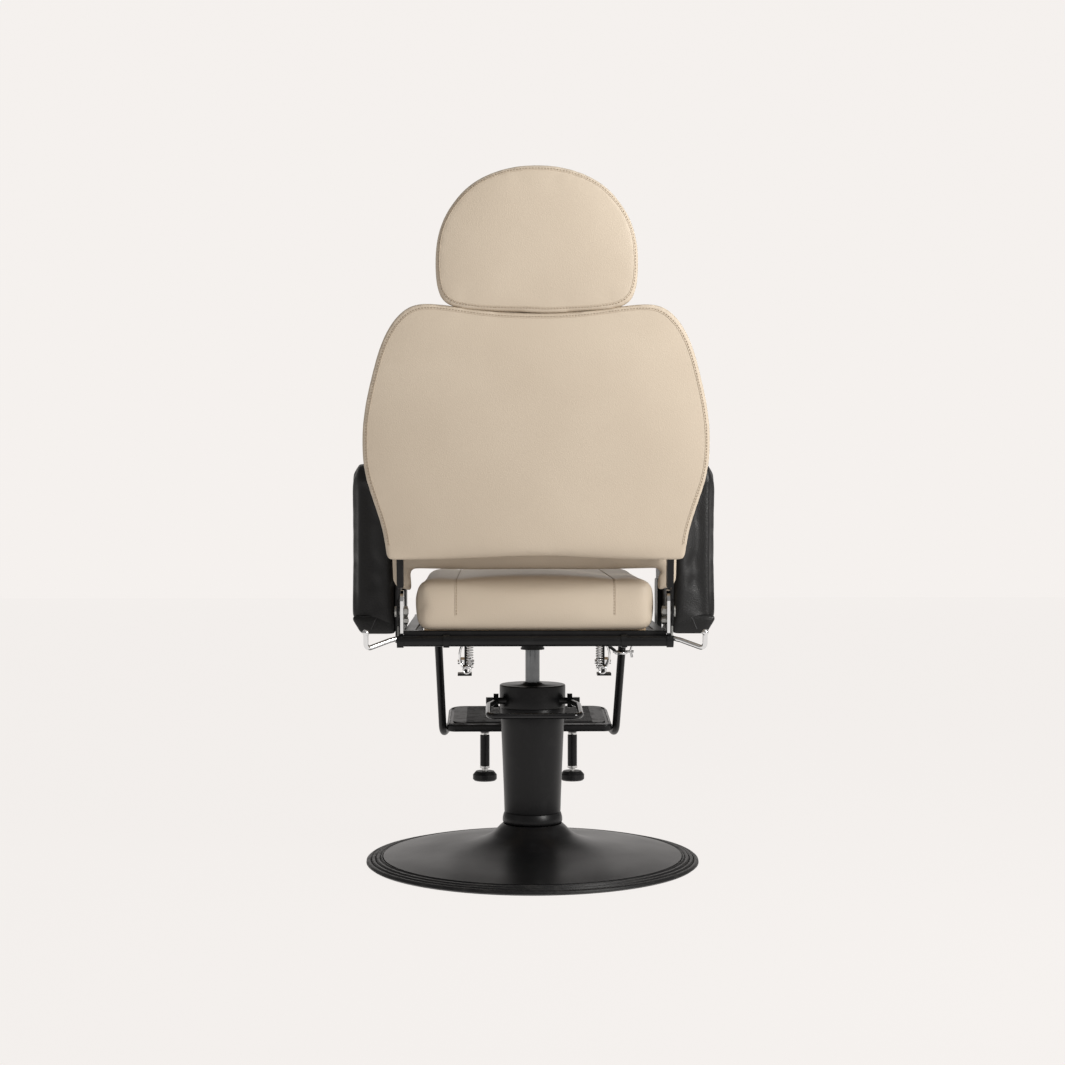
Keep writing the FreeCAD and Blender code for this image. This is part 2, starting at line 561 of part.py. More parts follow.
# ---- lugs under the frame ----
def make_lugs():
    """Spring lugs under the centre beams: a bent plate with a cross bolt and its nuts."""
    lug_y = FRAME_REAR_Y - TUBE - 40
    wide = (lug_y - 14, lug_y + 14)
    bolt_z = TUBE_Z - 38
    plate = box((LUG_X - 2.5, LUG_X + 2.5), wide, (TUBE_Z - 57, TUBE_Z))
    flange = box((LUG_X - 10, LUG_X + 14), wide, (TUBE_Z - 61, TUBE_Z - 57))
    strap = box((BEAM_X + TUBE - 16, LUG_X + 2.5), wide, (TUBE_Z - 4, TUBE_Z))
    hole = rod((LUG_X - 3, lug_y, bolt_z), X_AXIS, 4, 6)
    lug = fuse([plate, flange, strap]).cut(hole)
    export("spring_lugs", lug, mirrored(lug))
    shank = rod((LUG_X - 14, lug_y, bolt_z), X_AXIS, 4 - RUNNING, 28)
    inner = hex_prism((LUG_X - 9, lug_y, bolt_z), X_AXIS, 14, 6.3)
    outer = hex_prism((LUG_X + 2.7, lug_y, bolt_z), X_AXIS, 14, 6.3)
    bolt = fuse([shank, inner, outer])
    export("lug_bolts", bolt, mirrored(bolt))


# ---- recline release lever ----
def make_lever(tab_x):
    """Torque tube across the back of the frame, a bent hand rod and a pawl at each end."""
    end_x = FRAME_HALF_WIDTH + 11
    torque = rod((-end_x, LEVER_Y, LEVER_Z), X_AXIS, TORQUE_R, 2 * end_x)
    hubs = []
    for _, sign in SIDES:
        hubs.append(rod((sign * FRAME_HALF_WIDTH, LEVER_Y, LEVER_Z), X_AXIS * sign, LEVER_HUB_R - 1, 11))
    export("torque_tube", fuse([torque] + hubs))
    bearings = []
    for _, sign in SIDES:
        clip_x = sign * LEVER_BEARING_X
        clip = rod((clip_x - 5, LEVER_Y, LEVER_Z), X_AXIS, TORQUE_R + 2, 10)
        heel = box((clip_x - 5, clip_x + 5), (FRAME_REAR_Y, LEVER_Y), (TUBE_Z + 1, TUBE_Z + 14))
        block = fuse([clip, heel]).cut(box((clip_x - 6, clip_x + 6), (0, FRAME_REAR_Y), (0, 2 * LEVER_Z)))
        bore = rod((sign * LEVER_BEARING_X - 8, LEVER_Y, LEVER_Z), X_AXIS, TORQUE_R + RUNNING, 16)
        bearings.append(block.cut(bore))
    export("lever_bearings", *bearings)

    tip_place = (HAND_ROD_X, HAND_ROD_Y, LEVER_Z + HAND_ROD_RISE)
    rod_route = [(end_x - 6, LEVER_Y, LEVER_Z + 6), (end_x + 12, LEVER_Y + 10, LEVER_Z + 2),
                 (HAND_ROD_X, HAND_ROD_Y - 5, LEVER_Z - 11), tip_place]
    hand_rod = bent_tube(rod_route, LEVER_ROD_R, 8)
    tip = Part.makeSphere(LEVER_ROD_R + 1.5, V(*tip_place))
    hub_room = rod((0, LEVER_Y, LEVER_Z), X_AXIS, LEVER_HUB_R - 1, end_x)
    hand_rod = fuse([hand_rod, tip]).cut(hub_room)
    pawl_top = PIVOT_Z - TAB_R - 0.6
    pawl_x = (tab_x + 0.3, tab_x + TAB_T - 0.3)
    pawl_foot_z = LEVER_Z + LEVER_HUB_R - 1
    corners = [V(pawl_x[0], LEVER_Y - 6, pawl_foot_z - 2.5), V(pawl_x[0], LEVER_Y + 6, pawl_foot_z - 2.5),
               V(pawl_x[0], LEVER_Y, pawl_top), V(pawl_x[0], LEVER_Y - 4, pawl_top)]
    pawl = extruded(Part.makePolygon(corners + [corners[0]]), X_AXIS, pawl_x[1] - pawl_x[0])
    pawl = pawl.cut(rod((pawl_x[0] - 1, LEVER_Y, LEVER_Z), X_AXIS, LEVER_HUB_R - 1, TAB_T + 2))
    export("lever_rods", hand_rod, mirrored(hand_rod))
    export("pawls", pawl, mirrored(pawl))


# ---- backrest ----
def leaned(shape):
    """Back pieces are drawn upright and turned back about the pivot."""
    whole = shape.copy()
    whole.rotate(V(0, PIVOT_Y, PIVOT_Z), X_AXIS, -BACK_LEAN)
    return whole


def back_outline(y, inset=0.0):
    """Outline of the backrest: broad at the elbows, narrower at the foot, shoulders above the neck dip."""
    half = [(x * BACK_LOW_HALF, BACK_LOW_Z + z * BACK_HEIGHT) for x, z in BACK_SHAPE]
    half.append((BACK_LOW_HALF, BACK_LOW_Z + BACK_CORNER_R + 4))
    middle_z = (BACK_TOP_Z + BACK_LOW_Z) / 2
    points = []
    for x, z in half:
        scale_x = 1 - inset / BACK_LOW_HALF
        scale_z = 1 - inset / (middle_z - BACK_LOW_Z)
        points.append((x * scale_x, middle_z + (z - middle_z) * scale_z))
    low_z = BACK_LOW_Z + inset
    right = [V(x, y, z) for x, z in points]
    left = [V(-p.x, y, p.z) for p in reversed(right[1:])]
    top = Part.BSplineCurve()
    top.interpolate(left + right)
    end = right[-1]
    start = left[0]
    corner_x = end.x - BACK_CORNER_R
    low_right = V(corner_x, y, low_z)
    low_left = V(-corner_x, y, low_z)
    mid_off = BACK_CORNER_R * (1 - math.cos(math.radians(45)))
    arc_right = Part.Arc(end, V(end.x - mid_off, y, low_z + mid_off), low_right)
    arc_left = Part.Arc(low_left, V(start.x + mid_off, y, low_z + mid_off), start)
    foot = Part.makeLine(low_right, low_left)
    return Part.Wire([top.toShape(), arc_right.toShape(), foot, arc_left.toShape()])


def make_back(tab_x):
    bar_in = FRAME_HALF_WIDTH
    bar_foot = PIVOT_Z + TAB_R + 18
    tab = rod((tab_x, PIVOT_Y, PIVOT_Z), X_AXIS, TAB_R, TAB_T)
    neck = box((tab_x, tab_x + TAB_T), (PIVOT_Y - BAR_D / 2, PIVOT_Y + BAR_D / 2), (PIVOT_Z, bar_foot + 8))
    bar = box((bar_in, tab_x + TAB_T), (PIVOT_Y - BAR_D / 2, PIVOT_Y + BAR_D / 2), (bar_foot, BAR_TOP_Z))
    notches = []
    for degrees in range(-150, -29, 15):
        angle = math.radians(degrees)
        notch_y = PIVOT_Y + (TAB_R + 1) * math.cos(angle)
        notch_z = PIVOT_Z + (TAB_R + 1) * math.sin(angle)
        notches.append(rod((tab_x - 1, notch_y, notch_z), X_AXIS, 2.2, TAB_T + 2))
    pivot_bore = rod((tab_x - 1, PIVOT_Y, PIVOT_Z), X_AXIS, PIVOT_R + RUNNING, TAB_T + 2)
    side_bar = cut_all(fuse([tab, neck, bar]), notches + [pivot_bore])

    cross_zs = (BACK_LOW_Z + 40, BAR_TOP_Z - 12)
    crosses = [rod((-bar_in, PIVOT_Y, z), X_AXIS, 8, 2 * bar_in) for z in cross_zs]
    guides = []
    bores = []
    for _, sign in SIDES:
        guides.append(tube((sign * POST_X, PIVOT_Y, GUIDE_LOW_Z), Z_AXIS, GUIDE_R, POST_R + RUNNING,
                           BACK_TOP_Z - 4 - GUIDE_LOW_Z))
        bores.append(rod((sign * POST_X, PIVOT_Y, GUIDE_LOW_Z - 60), Z_AXIS, GUIDE_R, BACK_TOP_Z))
    crosses = [cut_all(cross, bores) for cross in crosses]
    export("back_cross_tubes", *[leaned(cross) for cross in crosses[:1]],
           *[leaned(solid) for cross in crosses[1:] for solid in cross.Solids])
    export("headrest_guides", *[leaned(guide) for guide in guides])
    export("back_bars", leaned(side_bar), leaned(mirrored(side_bar)))

    pockets = []
    for _, sign in SIDES:
        outer = (sign * (bar_in - LOOSE), sign * (tab_x + TAB_T + LOOSE))
        pockets.append(box(outer, (PIVOT_Y - BAR_D / 2 - LOOSE, BACK_BOARD_Y), (PIVOT_Z, BAR_TOP_Z + LOOSE)))
        pockets.append(rod((sign * POST_X, PIVOT_Y, POST_LOW_Z - LOOSE), Z_AXIS, GUIDE_R + LOOSE, BACK_TOP_Z))
    pockets += [rod((-bar_in, PIVOT_Y, z), X_AXIS, 8 + LOOSE, 2 * bar_in) for z in cross_zs]

    front_t = BACK_BOARD_Y - LOOSE - FRONT_Y
    cushion = extruded(back_outline(FRONT_Y, 3), Y_AXIS, front_t)
    lip = box((-BACK_LOW_HALF + 6, BACK_LOW_HALF - 6), (FRONT_Y, LIP_REAR_Y), (LIP_Z, BACK_LOW_Z + 60))
    lip = rounded(lip, 24, lambda edge: runs_along(Y_AXIS)(edge) and edge.BoundBox.ZMax < LIP_Z + 1)
    lip_gap = box((-LIP_MID_HALF, LIP_MID_HALF), (FRONT_Y - 1, LIP_REAR_Y + 1), (LIP_Z - 1, LIP_MID_Z))
    whole = fuse([cushion, lip.cut(lip_gap)])
    whole = rounded(whole, 16, lambda edge: edge.BoundBox.YMax < FRONT_Y + 0.5 and edge.Length > 100)
    export("back_front_cushion", leaned(cut_all(whole, pockets)))

    board = extruded(back_outline(BACK_BOARD_Y, 12), Y_AXIS, BACK_BOARD_T)
    export("back_board", leaned(board))
    panel = extruded(back_outline(REAR_PANEL_Y), Y_AXIS, REAR_PANEL_T)
    panel = rounded(panel, 14, lambda edge: edge.BoundBox.YMin > REAR_PANEL_Y + REAR_PANEL_T - 0.5)
    export("back_rear_panel", leaned(panel))


# ---- headrest ----
def head_outline(y, inset=0.0):
    """Domed top, full cheeks, a slightly hollow foot with large round corners."""
    half = HEAD_HALF - inset
    low = HEAD_LOW_Z + inset
    widest_z = HEAD_LOW_Z + HEAD_WIDEST
    rise = HEAD_TOP_Z - inset - widest_z
    right = [(half * x, low + z) for x, z in HEAD_FOOT_SHAPE]
    right += [(half * x, widest_z + rise * z) for x, z in HEAD_DOME_SHAPE]
    loop = [V(0, y, low)] + [V(x, y, z) for x, z in right] + [V(0, y, HEAD_TOP_Z - inset)]
    loop += [V(-x, y, z) for x, z in reversed(right)]
    curve = Part.BSplineCurve()
    curve.interpolate(Points=loop, PeriodicFlag=True)
    return Part.Wire([curve.toShape()])


def make_headrest():
    depth = HEAD_REAR_Y - HEAD_FRONT_Y
    cushion = extruded(head_outline(HEAD_FRONT_Y), Y_AXIS, depth)
    cushion = rounded(cushion, 12, lambda edge: edge.BoundBox.YMax - edge.BoundBox.YMin < 1)
    board_span = (PIVOT_Y - 6 - POST_R, PIVOT_Y - POST_R - 0.2)
    board_t = board_span[1] - board_span[0]
    board = extruded(head_outline(board_span[0], HEAD_BOARD_IN), Y_AXIS, board_t)
    room = extruded(head_outline(board_span[0] - LOOSE / 2, HEAD_BOARD_IN - 2), Y_AXIS, board_t + LOOSE)
    post_top = HEAD_LOW_Z + POST_IN_HEAD
    posts = []
    sockets = [room]
    for _, sign in SIDES:
        posts.append(rod((sign * POST_X, PIVOT_Y, POST_LOW_Z), Z_AXIS, POST_R, post_top - POST_LOW_Z))
        sockets.append(rod((sign * POST_X, PIVOT_Y, POST_LOW_Z), Z_AXIS, POST_R, post_top - POST_LOW_Z))
    export("headrest_cushion", leaned(cut_all(cushion, sockets)))
    export("headrest_board", leaned(board))
    export("headrest_posts", *[leaned(post) for post in posts])


# ---- footrest ----
def tilted(shape):
    """The footplate rises a little towards its front edge."""
    whole = shape.copy()
    whole.rotate(V(0, FOOTPLATE_REAR_Y, FOOTPLATE_TOP_Z), X_AXIS, -FOOTPLATE_TILT)
    return whole


def make_footrest():
    route = [(FOOT_TUBE_X + 2, FOOT_PIVOT_Y, FOOT_PIVOT_Z + 4), (FOOT_TUBE_X - 4, *FOOT_KNEE),
             (FOOT_TUBE_X - 24, *FOOT_TOE)]
    arm = bent_tube(route, FOOT_TUBE_R, 38)
    eye = rod((FOOT_TUBE_X - 7, FOOT_PIVOT_Y, FOOT_PIVOT_Z), X_AXIS, 13, 18)
    bore = rod((FOOT_TUBE_X - 20, FOOT_PIVOT_Y, FOOT_PIVOT_Z), X_AXIS, 5 + RUNNING, 50)
    arm = fuse([arm, eye]).cut(bore)

    plate_low = FOOTPLATE_TOP_Z - FOOTPLATE_T
    front_y = FOOTPLATE_REAR_Y - FOOTPLATE_DEPTH
    plate = box((-FOOTPLATE_HALF, FOOTPLATE_HALF), (front_y, FOOTPLATE_REAR_Y), (plate_low, FOOTPLATE_TOP_Z))
    plate = rounded(plate, 34, lambda edge: runs_along(Z_AXIS)(edge) and edge.BoundBox.YMax < front_y + 1)
    rear_y = FOOTPLATE_REAR_Y
    plate = rounded(plate, 16, lambda edge: runs_along(Z_AXIS)(edge) and edge.BoundBox.YMin > rear_y - 1)
    plate = tilted(plate)
    arms = [handed(arm, sign) for _, sign in SIDES]
    plate = cut_all(plate, arms)
    export("footplate", max(plate.Solids, key=lambda solid: solid.Volume))
    mat_in = 12.0
    mat_z = FOOTPLATE_TOP_Z
    mat = box((-FOOTPLATE_HALF + mat_in, FOOTPLATE_HALF - mat_in), (front_y + mat_in, rear_y - mat_in),
              (mat_z, mat_z + MAT_T))
    mat = rounded(mat, 20, runs_along(Z_AXIS))
    ribs = []
    rib_count = 15
    pitch = (FOOTPLATE_DEPTH - 2 * mat_in - 14) / (rib_count - 1)
    for i in range(rib_count):
        y = front_y + mat_in + 7 + i * pitch
        ribs.append(box((-FOOTPLATE_HALF + mat_in + 26, FOOTPLATE_HALF - mat_in - 26), (y - 2.5, y + 2.5),
                        (mat_z + MAT_T - 0.5, mat_z + MAT_T + MAT_RIB)))
    mat = tilted(fuse([mat] + ribs))
    export("tread_mat", max(cut_all(mat, arms).Solids, key=lambda solid: solid.Volume))

    post_top = FOOTPLATE_TOP_Z - FOOTPLATE_T - 3
    posts = []
    for side, sign in SIDES:
        export("footrest_tube_" + side, handed(arm, sign))
        place = (FOOT_POST_X, FOOT_POST_Y)
        post = rod((*place, FOOT_POST_LOW_Z), Z_AXIS, FOOT_POST_R, post_top + 14 - FOOT_POST_LOW_Z)
        for ring_z in (FOOT_POST_LOW_Z, post_top - 5):
            post = post.fuse(rod((*place, ring_z), Z_AXIS, FOOT_POST_R + 2, 6))
        above = box((0, 400), (-600, 0), (plate_low, plate_low + 200))
        above = tilted(above)
        bore_length = post_top - 8 - FOOT_POST_LOW_Z
        bore = rod((*place, FOOT_POST_LOW_Z - 1), Z_AXIS, FOOT_STEM_R + RUNNING, bore_length)
        posts.append(handed(cut_all(post.removeSplitter(), [above, bore]), sign))
        stem = rod((*place, FOOT_POST_LOW_Z - 10), Z_AXIS, FOOT_STEM_R, 66)
        pad = turned([(0, FOOT_POST_LOW_Z - 5 - PAD_H), (PAD_R - 3, FOOT_POST_LOW_Z - 5 - PAD_H),
                      (PAD_R, FOOT_POST_LOW_Z - 2 - PAD_H), (PAD_R, FOOT_POST_LOW_Z - 13),
                      (PAD_R - 6, FOOT_POST_LOW_Z - 6), (0, FOOT_POST_LOW_Z - 5)], V(*place, 0))
        socket = rod((*place, FOOT_POST_LOW_Z - 10), Z_AXIS, FOOT_STEM_R, 20)
        export("foot_pad_" + side, handed(pad.cut(socket), sign))
        export("foot_stem_" + side, handed(stem, sign))
    export("foot_sleeves", *posts)

    ear_in = FOOT_TUBE_X - 7 - 0.4
    hangers = []
    bolts = []
    for side, sign in SIDES:
        ear_span = (FOOT_PIVOT_Y - 16, FOOT_PIVOT_Y + 16)
        ear = box((ear_in - 5, ear_in), ear_span, (FOOT_PIVOT_Z - 16, TUBE_Z))
        top = box((ear_in - 5, FRAME_HALF_WIDTH - 2), ear_span, (TUBE_Z - 1.6, TUBE_Z))
        hole = rod((ear_in - 6, FOOT_PIVOT_Y, FOOT_PIVOT_Z), X_AXIS, 5 + RUNNING, 8)
        hangers.append(handed(fuse([ear, top]).cut(hole), sign))
        shank = rod((ear_in - 8, FOOT_PIVOT_Y, FOOT_PIVOT_Z), X_AXIS, 5, 34)
        inner = hex_prism((ear_in - 12, FOOT_PIVOT_Y, FOOT_PIVOT_Z), X_AXIS, 15, 6.8)
        outer = hex_prism((FOOT_TUBE_X + 11.4, FOOT_PIVOT_Y, FOOT_PIVOT_Z), X_AXIS, 15, 7)
        bolts.append(handed(fuse([shank, inner, outer]), sign))
    export("footrest_hangers", *hangers)
    export("footrest_bolts", *bolts)


def main():
    os.makedirs("parts", exist_ok=True)
    make_base()
    make_column()
    make_pedal()
    make_lift()
    make_frame(make_swivel())
    tab_x = make_hinge_plates()
    make_arms()
    make_lugs()
    make_lever(tab_x)
    make_back(tab_x)
    make_headrest()
    make_footrest()


main()
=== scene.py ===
"""A hydraulic barber chair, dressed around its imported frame. Metres, +Z up, the sitter faces -Y."""
import json
import math

import bmesh
import bpy
from mathutils import Matrix, Vector
from mathutils.bvhtree import BVHTree


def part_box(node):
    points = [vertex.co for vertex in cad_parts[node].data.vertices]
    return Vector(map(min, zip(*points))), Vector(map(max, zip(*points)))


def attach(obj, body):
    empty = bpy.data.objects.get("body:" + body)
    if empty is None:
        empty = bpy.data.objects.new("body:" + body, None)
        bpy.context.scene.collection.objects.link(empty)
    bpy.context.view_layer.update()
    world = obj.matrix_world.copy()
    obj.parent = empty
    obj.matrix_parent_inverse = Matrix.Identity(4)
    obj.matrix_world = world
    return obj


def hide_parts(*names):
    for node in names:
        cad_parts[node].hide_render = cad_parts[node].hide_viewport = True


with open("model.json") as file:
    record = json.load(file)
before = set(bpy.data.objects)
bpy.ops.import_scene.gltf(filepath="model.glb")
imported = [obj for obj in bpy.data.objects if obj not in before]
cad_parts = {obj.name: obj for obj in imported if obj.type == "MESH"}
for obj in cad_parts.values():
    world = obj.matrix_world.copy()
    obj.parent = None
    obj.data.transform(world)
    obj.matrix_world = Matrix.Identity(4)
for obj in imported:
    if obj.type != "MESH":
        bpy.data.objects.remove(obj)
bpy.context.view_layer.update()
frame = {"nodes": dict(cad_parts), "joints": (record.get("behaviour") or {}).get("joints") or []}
nodes = frame["nodes"]


# ---------------------------------------------------------------------------
# The studio: a pale sweep of floor, a camera at standing chest height behind
# the chair, and large soft lights, the brighter one from the camera's right.
# ---------------------------------------------------------------------------
CAMERA_BACK = 3.33
CAMERA_SIDE = 0.07
CAMERA_HEIGHT = 0.654
LENS = 62.3
TILT_DOWN = math.radians(1.01)


def deselect():
    """Nothing selected and nothing active, so an operator acts only on what is made next."""
    for thing in bpy.context.selected_objects:
        thing.select_set(False)
    bpy.context.view_layer.objects.active = None


def choose(*things):
    """Select these objects, the first one active."""
    deselect()
    for thing in things:
        thing.select_set(True)
    bpy.context.view_layer.objects.active = things[0]


deselect()
bpy.ops.object.camera_add(location=(CAMERA_SIDE, CAMERA_BACK, CAMERA_HEIGHT))
camera = bpy.context.object
aim = Vector((-CAMERA_SIDE, -CAMERA_BACK, 0)).normalized()
aim = Vector((aim.x * math.cos(TILT_DOWN), aim.y * math.cos(TILT_DOWN), -math.sin(TILT_DOWN)))
camera.rotation_euler = aim.to_track_quat("-Z", "Y").to_euler()
camera.data.lens = LENS
camera.data.sensor_width = 36
camera.data.clip_end = 60
bpy.context.scene.camera = camera


class Sum:
    """A socket that takes part in Python sums: each operation adds its own Math node."""

    def __init__(self, tree, socket):
        self.tree = tree
        self.socket = socket

    def _math(self, operation, first, second):
        node = self.tree.nodes.new("ShaderNodeMath")
        node.operation = operation
        for place, value in ((0, first), (1, second)):
            if isinstance(value, Sum):
                self.tree.links.new(value.socket, node.inputs[place])
            elif value is not None:
                node.inputs[place].default_value = value
        return Sum(self.tree, node.outputs[0])

    def __add__(self, other):
        return self._math("ADD", self, other)

    def __radd__(self, other):
        return self._math("ADD", other, self)

    def __sub__(self, other):
        return self._math("SUBTRACT", self, other)

    def __rsub__(self, other):
        return self._math("SUBTRACT", other, self)

    def __mul__(self, other):
        return self._math("MULTIPLY", self, other)

    def __rmul__(self, other):
        return self._math("MULTIPLY", other, self)

    def __pow__(self, other):
        return self._math("POWER", self, other)

    def over(self, limit):
        """1 where the value is above the limit, else 0."""
        return self._math("GREATER_THAN", self, limit)

    def sine(self):
        return self._math("SINE", self, None)


class Finish:
    """One material as it is mixed: its shader, and one way to add any other node."""

    def __init__(self, name, colour, roughness, **fixed):
        self.material = bpy.data.materials.new(name)
        self.material.use_nodes = True
        self.tree = self.material.node_tree
        self.shader = self.tree.nodes["Principled BSDF"]
        self.shader.inputs["Base Color"].default_value = (*colour, 1)
        self.shader.inputs["Roughness"].default_value = roughness
        for socket, value in fixed.items():
            self.shader.inputs[socket.replace("_", " ")].default_value = value
        self.place = self.node("ShaderNodeTexCoord")["Object"]

    def node(self, kind, settings=None, **sockets):
        """Add a node: its settings first, then the value or link of each socket named. Returns its outputs."""
        made = self.tree.nodes.new(kind)
        for name, value in (settings or {}).items():
            if name == "stops":
                ramp = made.color_ramp
                for element, (position, colour) in zip(ramp.elements, value):
                    element.position = position
                    element.color = (*colour, 1)
                continue
            setattr(made, name, value)
        for name, value in sockets.items():
            socket = made.inputs[int(name[1:]) if name[0] == "_" else name.replace("_", " ")]
            if isinstance(value, Sum):
                self.tree.links.new(value.socket, socket)
            else:
                socket.default_value = value
        return {output.name: Sum(self.tree, output) for output in made.outputs if output.enabled}

    def noise(self, scale, detail=3.0, place=None):
        """Cloudy value about 0.5."""
        return self.node("ShaderNodeTexNoise", Scale=scale, Detail=detail, Vector=place or self.place)["Fac"]

    def between(self, low, high, value):
        """The value spread from low..high to 0..1, held at both ends."""
        return self.node("ShaderNodeMapRange", {"clamp": True}, Value=value, From_Min=low, From_Max=high)["Result"]

    def blend(self, factor, first, second):
        """First colour where the factor is 0, second where it is 1."""
        first = (*first, 1) if isinstance(first, tuple) else first
        second = (*second, 1) if isinstance(second, tuple) else second
        return self.node("ShaderNodeMix", {"data_type": "RGBA"}, Factor=factor, _6=first, _7=second)["Result"]

    def bump(self, height, strength, distance, under=None):
        """Relief from a height; another relief may lie under it."""
        sockets = {"Height": height, "Strength": strength, "Distance": distance}
        if under is not None:
            sockets["Normal"] = under
        return self.node("ShaderNodeBump", None, **sockets)["Normal"]

    def feed(self, **sockets):
        """Link values to the shader's own sockets."""
        for name, value in sockets.items():
            self.tree.links.new(value.socket, self.shader.inputs[name.replace("_", " ")])
        return self.material


PAPER_TONE = (0.905, 0.871, 0.847)


def paper_sheet(name, glow, place, turn, width, depth):
    """A large sheet of softly lit studio paper, part of the stage."""
    deselect()
    bpy.ops.mesh.primitive_plane_add(size=1, location=place, rotation=turn)
    sheet = bpy.context.object
    sheet.name = name
    sheet.scale = (width, depth, 1)
    bpy.ops.object.transform_apply(location=True, rotation=True, scale=True)
    paper = Finish(name, (0.03, 0.03, 0.03), 0.9, Specular_IOR_Level=0.0, Emission_Strength=1.0,
                   Emission_Color=(*[c * glow for c in PAPER_TONE], 1))
    paper.feed(Base_Color=paper.blend(paper.noise(1.2), (0.028, 0.028, 0.028), (0.032, 0.032, 0.032)))
    sheet.data.materials.append(paper.material)


paper_sheet("studio_floor", 0.975, (0, 0, 0), (0, 0, 0), 30.0, 30.0)
paper_sheet("studio_backdrop", 0.99, (0, -9.0, 2.9), (math.radians(-90), 0, 0), 9.0, 6.0)

world = bpy.data.worlds.new("studio_air")
world.use_nodes = True
world.node_tree.nodes["Background"].inputs["Color"].default_value = (*PAPER_TONE, 1)
world.node_tree.nodes["Background"].inputs["Strength"].default_value = 0.30
bpy.context.scene.world = world
bpy.context.scene.view_settings.view_transform = "Standard"


def softbox(name, place, target, width, height, power, tint=(1, 1, 1)):
    """A rectangular studio light aimed at a point."""
    deselect()
    bpy.ops.object.light_add(type="AREA", location=place)
    lamp = bpy.context.object
    lamp.name = name
    lamp.data.shape = "RECTANGLE"
    lamp.data.size = width
    lamp.data.size_y = height
    lamp.data.energy = power
    lamp.data.color = tint
    lamp.rotation_euler = (Vector(target) - Vector(place)).to_track_quat("-Z", "Y").to_euler()
    return lamp


softbox("key_light", (-1.5, 1.45, 1.4), (0, 0.2, 0.85), 0.6, 1.1, 42, (1, 0.985, 0.965))
softbox("fill_light", (2.8, 1.6, 0.9), (0, 0.1, 0.6), 0.8, 1.6, 1.6)
softbox("top_light", (-0.3, 0.7, 2.9), (0, 0.1, 0.9), 1.4, 1.4, 9)


# ---------------------------------------------------------------------------
# The foot: a pressed steel cover over a cast ballast disc, satin black, with a
# ridged rubber ring clipped round its rim. The cover rises as a shallow cone
# and flares up to the column's collar.
# ---------------------------------------------------------------------------
CIRCLE_STEPS = 160
WALL = 0.002


def settle(piece, name, sharp=35):
    """Name a finished mesh, merge doubles, point its faces outwards and shade it."""
    piece.name = name
    piece.data.name = name
    choose(piece)
    bpy.ops.object.transform_apply(location=True, rotation=True, scale=True)
    bpy.ops.object.mode_set(mode="EDIT")
    bpy.ops.mesh.select_all(action="SELECT")
    bpy.ops.mesh.remove_doubles(threshold=0.00001)
    bpy.ops.mesh.normals_make_consistent(inside=False)
    bpy.ops.object.mode_set(mode="OBJECT")
    bpy.ops.object.shade_smooth_by_angle(angle=math.radians(sharp))
    return piece


def apply_modifier(piece, kind, **settings):
    """Add a modifier with its settings and apply it."""
    choose(piece)
    modifier = piece.modifiers.new(kind.lower(), kind)
    for name, value in settings.items():
        setattr(modifier, name, value)
    bpy.ops.object.modifier_apply(modifier=modifier.name)


def lathe(name, outline, steps=CIRCLE_STEPS, bevel=0.0, sharp=35):
    """Turn a closed (radius, height) outline about the column: a ring drawn out point by point."""
    deselect()
    first_r, first_z = outline[0]
    bpy.ops.mesh.primitive_circle_add(vertices=steps, radius=first_r, location=(0, 0, first_z))
    piece = bpy.context.object
    bpy.ops.object.mode_set(mode="EDIT")
    bpy.ops.mesh.select_all(action="SELECT")
    for (r0, z0), (r1, z1) in zip(outline, outline[1:] + outline[:1]):
        bpy.ops.mesh.extrude_edges_move(TRANSFORM_OT_translate={"value": (0, 0, z1 - z0)})
        bpy.ops.transform.resize(value=(r1 / r0, r1 / r0, 1), center_override=(0, 0, z1))
    bpy.ops.object.mode_set(mode="OBJECT")
    settle(piece, name, sharp)
    if bevel:
        apply_modifier(piece, "BEVEL", width=bevel, segments=2, limit_method="ANGLE", angle_limit=math.radians(30))
        bpy.ops.object.shade_smooth_by_angle(angle=math.radians(sharp))
    return piece


def flowing(points, per_span=6):
    """Points of a smooth curve through a few (radius, height) points."""
    ends = [points[0]] + list(points) + [points[-1]]
    line = []
    for before, start, end, after in zip(ends, ends[1:], ends[2:], ends[3:]):
        for step in range(per_span):
            t = step / per_span
            spot = []
            for k in range(len(start)):
                lean_in = (end[k] - before[k]) / 2
                lean_out = (after[k] - start[k]) / 2
                spot.append((2 * t ** 3 - 3 * t ** 2 + 1) * start[k] + (t ** 3 - 2 * t ** 2 + t) * lean_in
                            + (3 * t ** 2 - 2 * t ** 3) * end[k] + (t ** 3 - t ** 2) * lean_out)
            line.append(tuple(spot))
    return line + [tuple(points[-1])]


def finish_piece(piece, body, slot, finish, *replaced):
    """Paint a piece, seat it on its body and let it stand for the CAD nodes named."""
    piece.data.materials.clear()
    piece.data.materials.append(finish)
    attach(piece, body)
    if replaced:
        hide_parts(*replaced)
    return piece


def dress(finish, *names):
    """Give CAD nodes whose shape is right a better finish."""
    for name in names:
        nodes[name].data.materials.clear()
        nodes[name].data.materials.append(finish)


def powder_black():
    """Satin black powder coat: a fine orange-peel skin with faint cloudy dulling and dust."""
    coat = Finish("satin_black_powder", (0.007, 0.007, 0.0075), 0.30, Specular_IOR_Level=0.26)
    cloud = coat.noise(9.0, 4.0)
    dust = coat.between(0.55, 0.8, coat.noise(38.0, 5.0))
    coat.feed(Base_Color=coat.blend(dust, (0.006, 0.006, 0.0065), (0.012, 0.012, 0.0125)),
              Roughness=cloud * 0.16 + 0.27,
              Normal=coat.bump(coat.noise(900.0, 1.0), 0.12, 0.0004))
    return coat.material


POWDER = powder_black()

